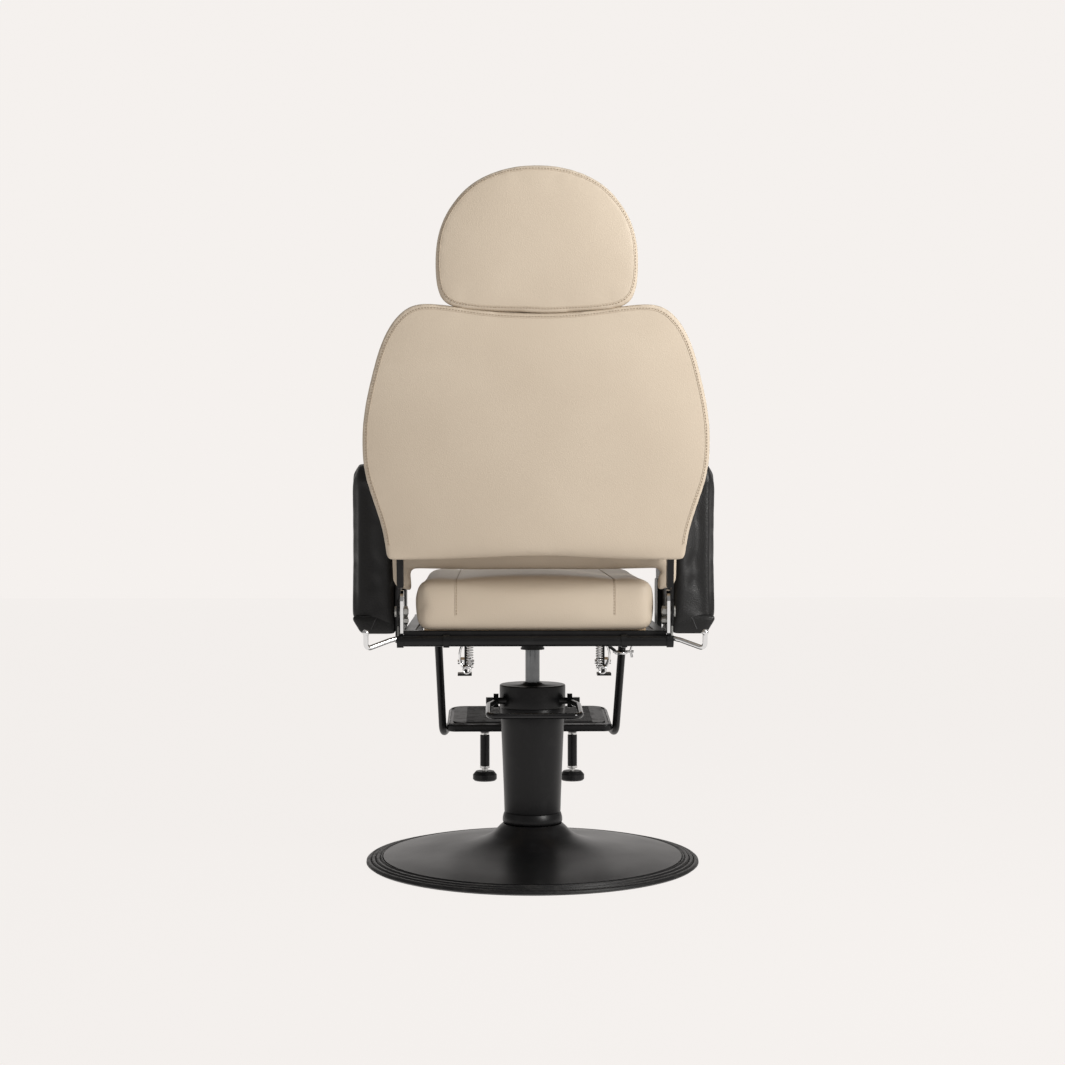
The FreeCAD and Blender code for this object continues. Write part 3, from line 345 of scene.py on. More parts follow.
rim_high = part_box("base_trim")[1]
shell_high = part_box("base_shell")[1]
RIM_R = rim_high.x
SHELL_R = shell_high.x
COLLAR_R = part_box("column_collar")[1].x
shell_edge_z = rim_high.z - 0.0002
outside = flowing([(SHELL_R, shell_edge_z), (0.235, 0.0192), (0.200, 0.0235), (0.150, 0.0285), (0.115, 0.0340),
                   (0.092, 0.0410), (0.076, 0.0495), (0.066, 0.0580), (0.059, 0.0650),
                   (COLLAR_R - 0.001, shell_high.z)], 6)
inside = [(r - WALL / 2, z - WALL) for r, z in reversed(outside)]
cover = lathe("foot_cover", outside + inside, sharp=40)
finish_piece(cover, "base", "satin_black_steel", POWDER, "base_shell")


def rim_rubber():
    """Moulded black rubber, greyed where shoes rub it."""
    rubber = Finish("ridged_rubber", (0.012, 0.012, 0.0125), 0.5, Specular_IOR_Level=0.25)
    scuff = rubber.between(0.5, 0.75, rubber.noise(60.0, 6.0))
    rubber.feed(Base_Color=rubber.blend(scuff, (0.010, 0.010, 0.0105), (0.030, 0.029, 0.028)),
                Roughness=scuff * 0.2 + 0.42,
                Normal=rubber.bump(rubber.noise(700.0, 2.0), 0.25, 0.0005))
    return rubber.material


RUBBER = rim_rubber()
RIM_WIDTH = RIM_R - SHELL_R - 0.0004
rim_outline = [(SHELL_R + 0.0004, 0.0), (RIM_R - 0.004, 0.0), (RIM_R, 0.003), (RIM_R - 0.0005, 0.0062)]
RIDGES = 3
for ridge in range(RIDGES):
    outer = RIM_R - 0.001 - ridge * (RIM_WIDTH - 0.006) / RIDGES
    pitch = (RIM_WIDTH - 0.006) / RIDGES
    rise = 0.0068 + 0.0019 * ridge
    rim_outline += [(outer - pitch * 0.25, rise + 0.0014), (outer - pitch * 0.6, rise + 0.0018),
                    (outer - pitch * 0.82, rise + 0.0008), (outer - pitch * 0.95, rise - 0.0006)]
rim_outline += [(SHELL_R + 0.0035, rim_high.z - 0.0004), (SHELL_R + 0.0014, rim_high.z - 0.0012),
                (SHELL_R + 0.0004, rim_high.z - 0.004)]
rim = lathe("rim_ring", rim_outline, sharp=50)
finish_piece(rim, "base", "black_rubber", RUBBER, "base_trim")


# ---------------------------------------------------------------------------
# The column: a rolled collar, a slightly tapered cover tube with a pressed
# joint line near its top, and the pump's cap, all satin black. A rubber wiper
# closes the cap round the chromed rod.
# ---------------------------------------------------------------------------
collar_low, collar_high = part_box("column_collar")
sleeve_low, sleeve_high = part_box("column_sleeve")
cap_low, cap_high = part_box("top_cap")
SLEEVE_FOOT_R = 0.0505
collar_outline = flowing([(COLLAR_R - 0.004, collar_low.z), (COLLAR_R - 0.0004, collar_low.z + 0.003),
                          (COLLAR_R, collar_low.z + 0.009), (COLLAR_R - 0.0012, collar_high.z - 0.006),
                          (COLLAR_R - 0.003, collar_high.z - 0.001)], 4)
collar_outline += [(SLEEVE_FOOT_R - WALL, collar_high.z), (SLEEVE_FOOT_R - WALL, collar_low.z + 0.006)]
collar = lathe("foot_collar", collar_outline, sharp=50)
finish_piece(collar, "base", "satin_black_steel", POWDER, "column_collar")

sleeve_outline = [(SLEEVE_FOOT_R, sleeve_low.z), (SLEEVE_FOOT_R + 0.0004, sleeve_low.z + 0.0015)]
sleeve_outline += [(SLEEVE_FOOT_R + (sleeve_high.x - SLEEVE_FOOT_R) * k / 6,
                    sleeve_low.z + 0.0015 + (sleeve_high.z - sleeve_low.z - 0.003) * k / 6) for k in range(1, 7)]
sleeve_outline += [(sleeve_high.x - 0.0008, sleeve_high.z), (sleeve_high.x - WALL, sleeve_high.z),
                   (SLEEVE_FOOT_R - WALL, sleeve_low.z)]
sleeve = lathe("column_cover", sleeve_outline, sharp=40)
finish_piece(sleeve, "base", "satin_black_steel", POWDER, "column_sleeve")

CAP_EDGE = 0.0025
rod_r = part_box("piston_rod")[1].x
cap_outline = [(cap_high.x - 0.0015, cap_low.z), (cap_high.x, cap_low.z + 0.0012),
               (cap_high.x, cap_high.z - CAP_EDGE)]
cap_outline += [(cap_high.x - CAP_EDGE + CAP_EDGE * math.cos(math.radians(a)),
                 cap_high.z - CAP_EDGE + CAP_EDGE * math.sin(math.radians(a))) for a in range(15, 91, 15)]
cap_outline += [(rod_r + 0.010, cap_high.z), (rod_r + 0.0085, cap_high.z + 0.0012),
                (rod_r + 0.003, cap_high.z + 0.0012), (rod_r + 0.003, cap_high.z - 0.003),
                (cap_high.x - 0.003, cap_high.z - 0.003), (cap_high.x - 0.003, cap_low.z)]
cap = lathe("pump_cap", cap_outline, sharp=50)
finish_piece(cap, "base", "satin_black_steel", POWDER, "top_cap")
dress(RUBBER, "wiper_seal")


def bright_chrome():
    """Bright chrome plate with very faint wiping marks."""
    chrome = Finish("bright_chrome", (0.78, 0.785, 0.79), 0.07, Metallic=1.0)
    smear = chrome.noise(26.0, 4.0)
    chrome.feed(Roughness=smear * 0.10 + 0.03, Normal=chrome.bump(chrome.noise(5.0, 1.0), 0.03, 0.001))
    return chrome.material


def zinc_plate(name="dull_zinc", dull=(0.30, 0.30, 0.29), clean=(0.52, 0.52, 0.50)):
    """Zinc on turned and sawn steel, mottled, with fine tool marks."""
    zinc = Finish(name, dull, 0.36, Metallic=1.0)
    mottle = zinc.noise(120.0, 4.0)
    zinc.feed(Base_Color=zinc.blend(mottle, dull, clean),
              Roughness=mottle * 0.3 + 0.2, Normal=zinc.bump(zinc.noise(800.0, 2.0), 0.2, 0.0003))
    return zinc.material


def cast_iron():
    """Rough grey casting."""
    iron = Finish("cast_iron_skin", (0.07, 0.07, 0.072), 0.7, Metallic=0.6)
    pits = iron.noise(260.0, 6.0)
    iron.feed(Base_Color=iron.blend(pits, (0.05, 0.05, 0.052), (0.11, 0.108, 0.105)),
              Normal=iron.bump(pits, 0.6, 0.001))
    return iron.material


def bearing_bronze():
    """Turned bronze, slightly tarnished."""
    bronze = Finish("bearing_bronze", (0.48, 0.31, 0.16), 0.32, Metallic=1.0)
    tarnish = bronze.noise(70.0, 4.0)
    bronze.feed(Base_Color=bronze.blend(tarnish, (0.36, 0.23, 0.12), (0.56, 0.38, 0.20)),
                Roughness=tarnish * 0.25 + 0.2)
    return bronze.material


def ground_rod():
    """Hard chromed piston rod, ground round its length and dulled by an oil film."""
    steel = Finish("ground_rod", (0.15, 0.155, 0.16), 0.2, Metallic=1.0)
    rings = steel.node("ShaderNodeMapping", None, Vector=steel.place, Scale=(8.0, 8.0, 900.0))["Vector"]
    ground = steel.noise(1.0, 2.0, rings)
    film = steel.noise(38.0, 3.0)
    steel.feed(Base_Color=steel.blend(film, (0.10, 0.105, 0.11), (0.20, 0.205, 0.21)),
               Roughness=ground * 0.16 + 0.12)
    return steel.material


CHROME = bright_chrome()
ZINC = zinc_plate()
BRIGHT_ZINC = zinc_plate("new_zinc", (0.62, 0.62, 0.61), (0.80, 0.80, 0.78))
dress(ground_rod(), "piston_rod")
dress(ZINC, "pump_cylinder", "piston_head", "flange_bolts", "pump_crank", "pump_plunger")
dress(cast_iron(), "base_plate", "pump_head")
dress(bearing_bronze(), "guide_bush")
dress(POWDER, "thrust_washer")


# ---------------------------------------------------------------------------
# The pump pedal: a round bar bent into a loop and enamelled gloss black,
# welded to a boss on each end of a shaft whose ends are filed square.
# ---------------------------------------------------------------------------
def gloss_black():
    """Gloss black enamel, rubbed grey along the top of the bar by shoe soles."""
    enamel = Finish("gloss_black_enamel", (0.006, 0.006, 0.0065), 0.16, Coat_Roughness=0.06, Specular_IOR_Level=0.4)
    wear = enamel.between(0.62, 0.8, enamel.noise(75.0, 6.0))
    enamel.feed(Base_Color=enamel.blend(wear, (0.006, 0.006, 0.0065), (0.03, 0.03, 0.029)),
                Roughness=wear * 0.3 + 0.13, Normal=enamel.bump(enamel.noise(420.0, 1.0), 0.05, 0.0004))
    return enamel.material


def worn_edge():
    """Black paint rubbed thin on a raised edge, so grey steel shows through in patches."""
    edge = Finish("worn_edge", (0.05, 0.05, 0.052), 0.35, Specular_IOR_Level=0.5)
    rub = edge.between(0.4, 0.62, edge.noise(45.0, 5.0))
    edge.feed(Base_Color=edge.blend(rub, (0.03, 0.03, 0.031), (0.17, 0.17, 0.175)), Roughness=rub * 0.2 + 0.25)
    return edge.material


ENAMEL = gloss_black()
WORN = worn_edge()
dress(ENAMEL, "pedal_loop")
dress(POWDER, "pedal_shaft")


# ---------------------------------------------------------------------------
# Upholstery. Each cushion is foam on a plywood board in a sewn leather cover:
# flat panels and boxing strips meet at stitched seams, and the foam swells
# them between the seams. A cover is blown up like cloth from its cut shape,
# held along the seams, and the seam rolls and stitches are laid on afterwards.
# ---------------------------------------------------------------------------
recline = next(joint for joint in frame["joints"] if joint["name"] == "back_recline")
head_slide = next(joint for joint in frame["joints"] if joint["name"] == "headrest_height")
PIVOT = Vector(recline["pos_m"])
LEAN = math.atan2(head_slide["axis"][1], head_slide["axis"][2])
LEANED = Matrix.Translation(PIVOT) @ Matrix.Rotation(-LEAN, 4, "X") @ Matrix.Translation(-PIVOT)
UPRIGHT = LEANED.inverted()
LEVEL = Matrix.Identity(4)
GRAIN = 0.0055
SEAM_INSET = 0.008


def section(node, axis, height, turn=LEVEL):
    """Outer ring of a CAD solid cut square to an axis, as points in order."""
    mesh = bmesh.new()
    mesh.from_mesh(nodes[node].data)
    bmesh.ops.transform(mesh, matrix=turn, verts=mesh.verts)
    bmesh.ops.remove_doubles(mesh, verts=mesh.verts, dist=0.00002)
    normal = Vector((axis == "X", axis == "Y", axis == "Z"))
    everything = mesh.verts[:] + mesh.edges[:] + mesh.faces[:]
    cut = bmesh.ops.bisect_plane(mesh, geom=everything, plane_co=normal * height, plane_no=normal)["geom_cut"]
    links = {}
    for edge in cut:
        if isinstance(edge, bmesh.types.BMEdge):
            for one, other in (edge.verts, reversed(edge.verts)):
                links.setdefault(one, []).append(other)
    rings = []
    while links:
        start = next(iter(links))
        ring = [start]
        here = start
        while True:
            onward = [v for v in links.get(here, []) if v in links and v not in ring[-2:]]
            links.pop(here, None)
            if not onward or onward[0] is start:
                break
            here = onward[0]
            ring.append(here)
        rings.append([v.co.copy() for v in ring])
    mesh.free()
    return max(rings, key=lambda ring: sum((a - b).length for a, b in zip(ring, ring[1:])))


def even_ring(ring, pitch):
    """The ring again with its points evenly spaced."""
    closed = ring + ring[:1]
    lengths = [0.0]
    for a, b in zip(closed, closed[1:]):
        lengths.append(lengths[-1] + (b - a).length)
    count = max(8, round(lengths[-1] / pitch))
    points = []
    span = 0
    for k in range(count):
        goal = lengths[-1] * k / count
        while lengths[span + 1] < goal:
            span += 1
        share = (goal - lengths[span]) / max(lengths[span + 1] - lengths[span], 1e-9)
        points.append(closed[span].lerp(closed[span + 1], share))
    return points


def inset_ring(ring, axis, distance):
    """The ring moved inwards in its own plane."""
    normal = Vector((axis == "X", axis == "Y", axis == "Z"))
    centre = sum(ring, Vector()) / len(ring)
    moved = []
    for before, here, after in zip(ring[-1:] + ring[:-1], ring, ring[1:] + ring[:1]):
        along = (after - before).normalized()
        inward = normal.cross(along)
        if inward.dot(centre - here) < 0:
            inward.negate()
        moved.append(here + inward * distance)
    return moved


def drawn_out(name, ring, axis, low, high, corner):
    """The ring filled and drawn out from low to high, its edges eased."""
    k = "XYZ".index(axis)
    mesh = bpy.data.meshes.new(name)
    floor_ring = []
    for point in ring:
        spot = point.copy()
        spot[k] = low
        floor_ring.append(spot)
    mesh.from_pydata([tuple(p) for p in floor_ring], [], [list(range(len(floor_ring)))])
    piece = bpy.data.objects.new(name, mesh)
    bpy.context.scene.collection.objects.link(piece)
    choose(piece)
    bpy.ops.object.mode_set(mode="EDIT")
    bpy.ops.mesh.select_all(action="SELECT")
    rise = [0, 0, 0]
    rise[k] = high - low
    bpy.ops.mesh.extrude_region_move(TRANSFORM_OT_translate={"value": tuple(rise)})
    bpy.ops.mesh.select_all(action="SELECT")
    bpy.ops.mesh.normals_make_consistent(inside=False)
    bpy.ops.object.mode_set(mode="OBJECT")
    if corner:
        apply_modifier(piece, "BEVEL", width=corner, segments=5, limit_method="ANGLE", angle_limit=math.radians(50))
    return piece


def blank(*blocks):
    """The cut shape of a cover: its blocks grown into one evenly grained skin."""
    choose(*blocks)
    if len(blocks) > 1:
        bpy.ops.object.join()
    piece = bpy.context.object
    apply_modifier(piece, "REMESH", mode="VOXEL", voxel_size=GRAIN)
    return piece


def puff(piece, held, cap, pressure=7.0, steps=20):
    """Swell the cover like cloth, held where held(point) says, no point moving further than the cap."""
    apply_modifier(piece, "SMOOTH", factor=0.5, iterations=2)
    before = [vertex.co.copy() for vertex in piece.data.vertices]
    seams = piece.vertex_groups.new(name="seams")
    seams.add([k for k, point in enumerate(before) if held(point)], 1.0, "ADD")
    choose(piece)
    cloth = piece.modifiers.new("cloth", "CLOTH")
    cloth.settings.use_pressure = True
    cloth.settings.uniform_pressure_force = pressure
    cloth.settings.vertex_group_mass = "seams"
    cloth.settings.effector_weights.gravity = 0
    cloth.settings.quality = 4
    cloth.point_cache.frame_start = 1
    cloth.point_cache.frame_end = steps
    for step in range(1, steps + 1):
        bpy.context.scene.frame_set(step)
    bpy.ops.object.modifier_apply(modifier="cloth")
    bpy.context.scene.frame_set(1)
    for vertex, start in zip(piece.data.vertices, before):
        shift = vertex.co - start
        if shift.length > cap:
            vertex.co = start + shift.normalized() * cap
    piece.vertex_groups.clear()
    apply_modifier(piece, "SMOOTH", factor=0.5, iterations=2)
    return piece


def fit_to(piece, axes, low, high):
    """Stretch a swollen cover, on these axes only, to the size its cushion was cut for."""
    for k in axes:
        values = [vertex.co[k] for vertex in piece.data.vertices]
        least, most = min(values), max(values)
        scale = (high[k] - low[k]) / (most - least)
        for vertex in piece.data.vertices:
            vertex.co[k] = low[k] + (vertex.co[k] - least) * scale
    return piece


def cover_up(piece, name, turn=LEVEL):
    """Lean a finished cover into place, subdivide it once and shade it."""
    piece.data.transform(turn)
    apply_modifier(piece, "SUBSURF", levels=1, render_levels=1)
    settle(piece, name, 60)
    return piece


def tree_of(piece):
    """Search tree of a finished surface."""
    mesh = bmesh.new()
    mesh.from_mesh(piece.data)
    tree = BVHTree.FromBMesh(mesh)
    mesh.free()
    return tree


def on_surface(tree, points, proud=0.0):
    """Points moved to the nearest place on a surface, standing proud of it, with the surface's direction there."""
    found = []
    for point in points:
        spot, normal, _, _ = tree.find_nearest(point)
        found.append((spot + normal * proud, normal))
    return found


def round_bar(name, points, radius, closed, sides=8):
    """A round cord through points: a curve given thickness and made a mesh."""
    curve = bpy.data.curves.new(name, "CURVE")
    curve.dimensions = "3D"
    curve.bevel_depth = radius
    curve.bevel_resolution = sides // 2 - 2
    curve.use_fill_caps = not closed
    spline = curve.splines.new("POLY")
    spline.points.add(len(points) - 1)
    for slot, point in zip(spline.points, points):
        slot.co = (*point, 1)
    spline.use_cyclic_u = closed
    piece = bpy.data.objects.new(name, curve)
    bpy.context.scene.collection.objects.link(piece)
    choose(piece)
    bpy.ops.object.convert(target="MESH")
    return settle(bpy.context.object, name, 60)


def stitch_row(name, spots, pitch=0.0050, length=0.0034, radius=0.00062):
    """Short thread stitches lying along a line of (place, direction) pairs on a surface."""
    verts = []
    faces = []
    travelled = pitch / 2
    for (a, normal), (b, _) in zip(spots, spots[1:]):
        run = (b - a).length
        if run < 1e-6:
            continue
        along = (b - a) / run
        across = along.cross(normal).normalized()
        up = across.cross(along)
        while travelled < run:
            middle = a + along * travelled
            base = len(verts)
            for t, size in ((-0.5, 0.35), (-0.3, 1.0), (0.3, 1.0), (0.5, 0.35)):
                for side in range(6):
                    angle = math.tau * side / 6
                    verts.append(middle + along * (t * length)
                                 + (across * math.cos(angle) + up * math.sin(angle)) * radius * size)
            for ring in range(3):
                for side in range(6):
                    one = base + ring * 6 + side
                    two = base + ring * 6 + (side + 1) % 6
                    faces.append((one, two, two + 6, one + 6))
            faces.append(tuple(base + side for side in reversed(range(6))))
            faces.append(tuple(base + 18 + side for side in range(6)))
            travelled += pitch
        travelled -= run
    mesh = bpy.data.meshes.new(name)
    mesh.from_pydata([tuple(v) for v in verts], [], faces)
    piece = bpy.data.objects.new(name, mesh)
    bpy.context.scene.collection.objects.link(piece)
    return settle(piece, name, 60)


def leather(name, colour, deep, light, roughness, grain_size, relief):
    """Upholstery leather: pebbled grain, faint creasing, cloudy tone and a soft polish on the high grain."""
    hide = Finish(name, colour, roughness, Specular_IOR_Level=0.32)
    pebble = hide.node("ShaderNodeTexVoronoi", {"feature": "SMOOTH_F1"}, Vector=hide.place, Scale=grain_size,
                       Smoothness=0.6)["Distance"]
    cloud = hide.noise(4.5, 5.0)
    mottle = hide.noise(34.0, 6.0)
    crease = hide.noise(14.0, 8.0)
    tone = hide.blend(hide.between(0.3, 0.7, cloud), deep, light)
    tone = hide.blend(hide.between(0.25, 0.75, mottle) * 0.4, tone, colour)
    fine = hide.bump(pebble, relief, 0.0006)
    creased = hide.bump(crease, relief * 0.6, 0.0020, fine)
    hide.feed(Base_Color=tone, Roughness=pebble * 0.22 + mottle * 0.12 + (roughness - 0.12), Normal=creased)
    return hide.material


BEIGE = leather("beige_leather", (0.520, 0.440, 0.345), (0.485, 0.408, 0.318), (0.548, 0.468, 0.370),
                0.46, 620.0, 0.35)
BLACK = leather("black_leather", (0.007, 0.007, 0.0072), (0.005, 0.005, 0.0052), (0.010, 0.010, 0.0102),
                0.36, 520.0, 0.45)


def thread(name, colour):
    """Bonded sewing thread."""
    yarn = Finish(name, colour, 0.6)
    twist = yarn.noise(900.0, 2.0)
    pale = tuple(min(1.0, c * 1.15) for c in colour)
    yarn.feed(Base_Color=yarn.blend(twist, colour, pale), Normal=yarn.bump(twist, 0.4, 0.0003))
    return yarn.material


BEIGE_THREAD = thread("beige_thread", (0.27, 0.205, 0.14))
# A darker beige for the seam welts: painted shade for the dark crease line along each seam, not a different leather.
BEIGE_SEAM_SHADE = leather("beige_seam_shade", (0.47, 0.39, 0.30), (0.43, 0.36, 0.275), (0.50, 0.42, 0.325), 0.5, 620.0, 0.3)
BLACK_THREAD = thread("black_thread", (0.03, 0.03, 0.031))


# ---------------------------------------------------------------------------
# The headrest: a domed foam pad, front and back panels sewn to a boxing strip
# that bulges past the seams, on two chromed posts that slide in the backrest.
# ---------------------------------------------------------------------------
def near_ring(ring, k, reach):
    """Test of whether a point lies within reach of a ring, looking along one axis."""
    flat = []
    for point in ring:
        spot = point.copy()
        spot[k] = 0
        flat.append(spot)
    cells = {}
    for spot in flat:
        cells.setdefault(tuple(round(c / reach) for c in spot), []).append(spot)

    def test(point):
        spot = point.copy()
        spot[k] = 0
        home = tuple(round(c / reach) for c in spot)
        for dx in (-1, 0, 1):
            for dy in (-1, 0, 1):
                for dz in (-1, 0, 1):
                    for other in cells.get((home[0] + dx, home[1] + dy, home[2] + dz), ()):
                        if (other - spot).length < reach:
                            return True
        return False
    return test


def boxed_pad(name, ring, axis, low, high, swell, cap, turn, size, extra=None, tail=None, free_below=-1.0):
    """A pad of two panels and a boxing strip: swollen between the two edge seams. Returns it and its seam rings."""
    k = "XYZ".index(axis)
    cut_ring = inset_ring(ring, axis, swell)
    blocks = [drawn_out(name, cut_ring, axis, low, high, 0)]
    if tail is not None:
        blocks.append(tail)
    piece = blank(*blocks)
    at_edge = near_ring(cut_ring, k, GRAIN * 0.8)

    def held(point):
        on_seam = at_edge(point) and min(abs(point[k] - low), abs(point[k] - high)) < GRAIN * 0.8
        on_seam = on_seam and point.z > free_below
        return on_seam or (extra is not None and extra(point))

    puff(piece, held, cap)
    fit_to(piece, (0, 1, 2), *size)
    cover_up(piece, name, turn)
    seams = []
    for level in (low, high):
        line = []
        for point in cut_ring:
            spot = point.copy()
            spot[k] = level
            line.append(turn @ spot)
        seams.append(line)
    return piece, seams


def upright_span(node):
    """Lowest and highest corner of a leaned CAD node, measured upright."""
    corners = [UPRIGHT @ vertex.co for vertex in nodes[node].data.vertices]
    low = Vector(min(c[k] for c in corners) for k in range(3))
    high = Vector(max(c[k] for c in corners) for k in range(3))
    return low, high


def seam(name, piece, ring, body, finish, yarn, slot, closed=True, keep=None, offset=0.0022, side=-1):
    """A sewn seam: a fine welt of folded leather in a darker beige, painted shade for the dark crease along the seam,
    and one row of long stitches beside it.
    """
    tree = tree_of(piece)
    spots = on_surface(tree, ring)
    if keep is not None:
        first = next(k for k, spot in enumerate(spots) if keep(spot[0]) and not keep(spots[k - 1][0]))
        spots = [spot for spot in spots[first:] + spots[:first] if keep(spot[0])]
        closed = False
    line = [place + normal * 0.0001 for place, normal in spots]
    welt = round_bar(name + "_welt", line, 0.0006, closed)
    finish_piece(welt, body, slot, finish)
    moved = []
    count = len(spots)
    for k, (place, normal) in enumerate(spots):
        before = spots[k - 1][0] if k or closed else place
        after = spots[(k + 1) % count][0] if k + 1 < count or closed else place
        across = (after - before).normalized().cross(normal).normalized()
        moved.append(place + across * (offset * side))
    beside = on_surface(tree, moved, 0.0002)
    if closed:
        beside.append(beside[0])
    row = stitch_row(name + "_stitches", beside)
    finish_piece(row, body, slot, yarn)


PAD_SINK = 0.003
head_low, head_high = upright_span("headrest_cushion")
head_mid = (head_low.y + head_high.y) / 2
head_ring = even_ring(section("headrest_cushion", "Y", head_mid + 0.02, UPRIGHT), 0.005)
headrest, head_seams = boxed_pad("headrest", head_ring, "Y", head_low.y + 0.012, head_high.y - 0.010,
                                 SEAM_INSET, 0.014, LEANED,
                                 (head_low - Vector((0, 0, PAD_SINK)), head_high))
finish_piece(headrest, "headrest", "beige_leather", BEIGE, "headrest_cushion")
for label, line, side in (("front", head_seams[0], 1), ("rear", head_seams[1], -1)):
    seam("headrest_" + label, headrest, line, "headrest", BEIGE_SEAM_SHADE, BEIGE_THREAD, "beige_leather", side=side)
dress(CHROME, "headrest_posts")


def birch_ply():
    """Raw birch plywood: pale grain along the board, darker plies at its edge."""
    ply = Finish("birch_plywood", (0.56, 0.41, 0.25), 0.6)
    stretched = ply.node("ShaderNodeMapping", None, Vector=ply.place, Scale=(18.0, 160.0, 160.0))["Vector"]
    streak = ply.noise(1.0, 6.0, stretched)
    ply.feed(Base_Color=ply.blend(streak, (0.42, 0.29, 0.16), (0.64, 0.48, 0.31)),
             Roughness=streak * 0.2 + 0.5, Normal=ply.bump(streak, 0.25, 0.0006))
    return ply.material


PLY = birch_ply()
dress(PLY, "headrest_board", "back_board", "seat_board")


# ---------------------------------------------------------------------------
# The backrest: two black bars stand up from the recline pivots, tied by cross
# tubes that hold the headrest guides. A thick front cushion with a lip that
# reaches down past the seat, and a rear panel, are screwed to a board.
# ---------------------------------------------------------------------------
panel_low, panel_high = upright_span("back_rear_panel")
panel_ring = even_ring(section("back_rear_panel", "Y", panel_low.y + 0.010, UPRIGHT), 0.005)
rear_panel, panel_seams = boxed_pad("back_panel", panel_ring, "Y", panel_low.y + 0.002, panel_high.y - 0.011,
                                    SEAM_INSET, 0.013, LEANED, (panel_low, panel_high),
                                    free_below=panel_low.z + 0.025)
finish_piece(rear_panel, "back", "beige_leather", BEIGE, "back_rear_panel")
PANEL_FOOT_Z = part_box("back_rear_panel")[0].z + 0.022
seam("back_panel_rear", rear_panel, panel_seams[1], "back", BEIGE_SEAM_SHADE, BEIGE_THREAD, "beige_leather",
     keep=lambda place: place.z > PANEL_FOOT_Z)

cushion_low, cushion_high = upright_span("back_front_cushion")
board_low = upright_span("back_board")[0]
CHANNEL_X = 0.105
lip_ring = even_ring(section("back_front_cushion", "Y", cushion_low.y + 0.018, UPRIGHT), 0.005)
lip_rear_y = cushion_low.y + 0.029
cushion_foot_z = panel_low.z + 0.004
upper_ring = [Vector((p.x, p.y, max(p.z, cushion_foot_z))) for p in lip_ring]
cushion_ring = even_ring(upper_ring, 0.005)
lip_block = drawn_out("lip", [p for p in inset_ring(lip_ring, "Y", 0.006)
                              if p.z < cushion_foot_z + 0.05], "Y", cushion_low.y + 0.012, lip_rear_y, 0.009)


def on_channel(point):
    """The two upright seams of the front panel."""
    return abs(abs(point.x) - CHANNEL_X) < GRAIN * 0.6 and point.y < cushion_low.y + 0.030


front_cushion, cushion_seams = boxed_pad("back_cushion", cushion_ring, "Y", cushion_low.y + 0.014,
                                         board_low.y - 0.002, SEAM_INSET, 0.013, LEANED,
                                         (cushion_low, cushion_high), on_channel, lip_block)
finish_piece(front_cushion, "back", "beige_leather", BEIGE, "back_front_cushion")
seam("back_cushion_front", front_cushion, cushion_seams[0], "back", BEIGE_SEAM_SHADE, BEIGE_THREAD, "beige_leather",
     keep=lambda place: place.z > PANEL_FOOT_Z, side=1)
dress(POWDER, "back_bars", "back_cross_tubes", "headrest_guides")


# ---------------------------------------------------------------------------
# The seat: one deep foam block on a board. A centre panel runs over the top
# and rolls down the back between two side panels, sewn along both its edges.
# ---------------------------------------------------------------------------
seat_low, seat_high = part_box("seat_cushion")
SEAT_SEAM_X = 0.135
seat_ring = even_ring(section("seat_cushion", "Z", seat_high.z - 0.035), 0.006)
seat_ring = inset_ring(seat_ring, "Z", 0.006)


def on_seat_seam(point):
    """The two seams of the centre panel, over the top and down both ends."""
    return abs(abs(point.x) - SEAT_SEAM_X) < GRAIN * 0.6 and point.z > seat_low.z + 0.012


def seat_held(point):
    """Sewn seams, and the underside that is stapled to the board."""
    return on_seat_seam(point) or point.z < seat_low.z + 0.006


seat = blank(drawn_out("seat_pad", seat_ring, "Z", seat_low.z + 0.001, seat_high.z - 0.006, 0.044))
puff(seat, seat_held, 0.010)
fit_to(seat, (0, 1, 2), seat_low, seat_high)
cover_up(seat, "seat_pad")
finish_piece(seat, "seat", "beige_leather", BEIGE, "seat_cushion")
seat_tree = tree_of(seat)
SEAT_MID = Vector((0, (seat_low.y + seat_high.y) / 2, (seat_low.z + seat_high.z) / 2))
for side, label in ((1, "left"), (-1, "right")):
    centre = Vector((side * SEAT_SEAM_X, SEAT_MID.y, SEAT_MID.z))
    arch = []
    for k in range(400):
        angle = math.radians(-14 + 208 * k / 399)
        ray = Vector((0, math.cos(angle), math.sin(angle) * 0.35)).normalized()
        hit, _, _, _ = seat_tree.ray_cast(centre + ray, -ray)
        if hit is not None and (not arch or (hit - arch[-1]).length > 0.002):
            arch.append(hit)
    seam("seat_seam_" + label, seat, arch, "seat", BEIGE_SEAM_SHADE, BEIGE_THREAD, "beige_leather", closed=False,
         side=side)


# ---------------------------------------------------------------------------
# The arms: tall black leather pads on a plywood core, their lower edge tucked
# behind a flat covered skirt, each carried by two steel brackets.
# ---------------------------------------------------------------------------
arm_low, arm_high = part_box("arm_pad_left")
arm_ring = even_ring(section("arm_pad_left", "X", (arm_low.x + arm_high.x) / 2), 0.005)
arm = blank(drawn_out("arm_pad", inset_ring(arm_ring, "X", 0.005), "X", arm_low.x + 0.003, arm_high.x - 0.006, 0.018))
puff(arm, lambda point: point.x < arm_low.x + 0.008, 0.008)
fit_to(arm, (0, 1, 2), arm_low - Vector((0, 0, 0.026)), arm_high)
cover_up(arm, "arm_cover_left")


def other_hand(piece, name):
    """A copy of a piece for the chair's other side, with its own mesh."""
    copy = bpy.data.objects.new(name, piece.data.copy())
    bpy.context.scene.collection.objects.link(copy)
    copy.data.transform(Matrix.Scale(-1, 4, Vector((1, 0, 0))))
    return settle(copy, name, 60)


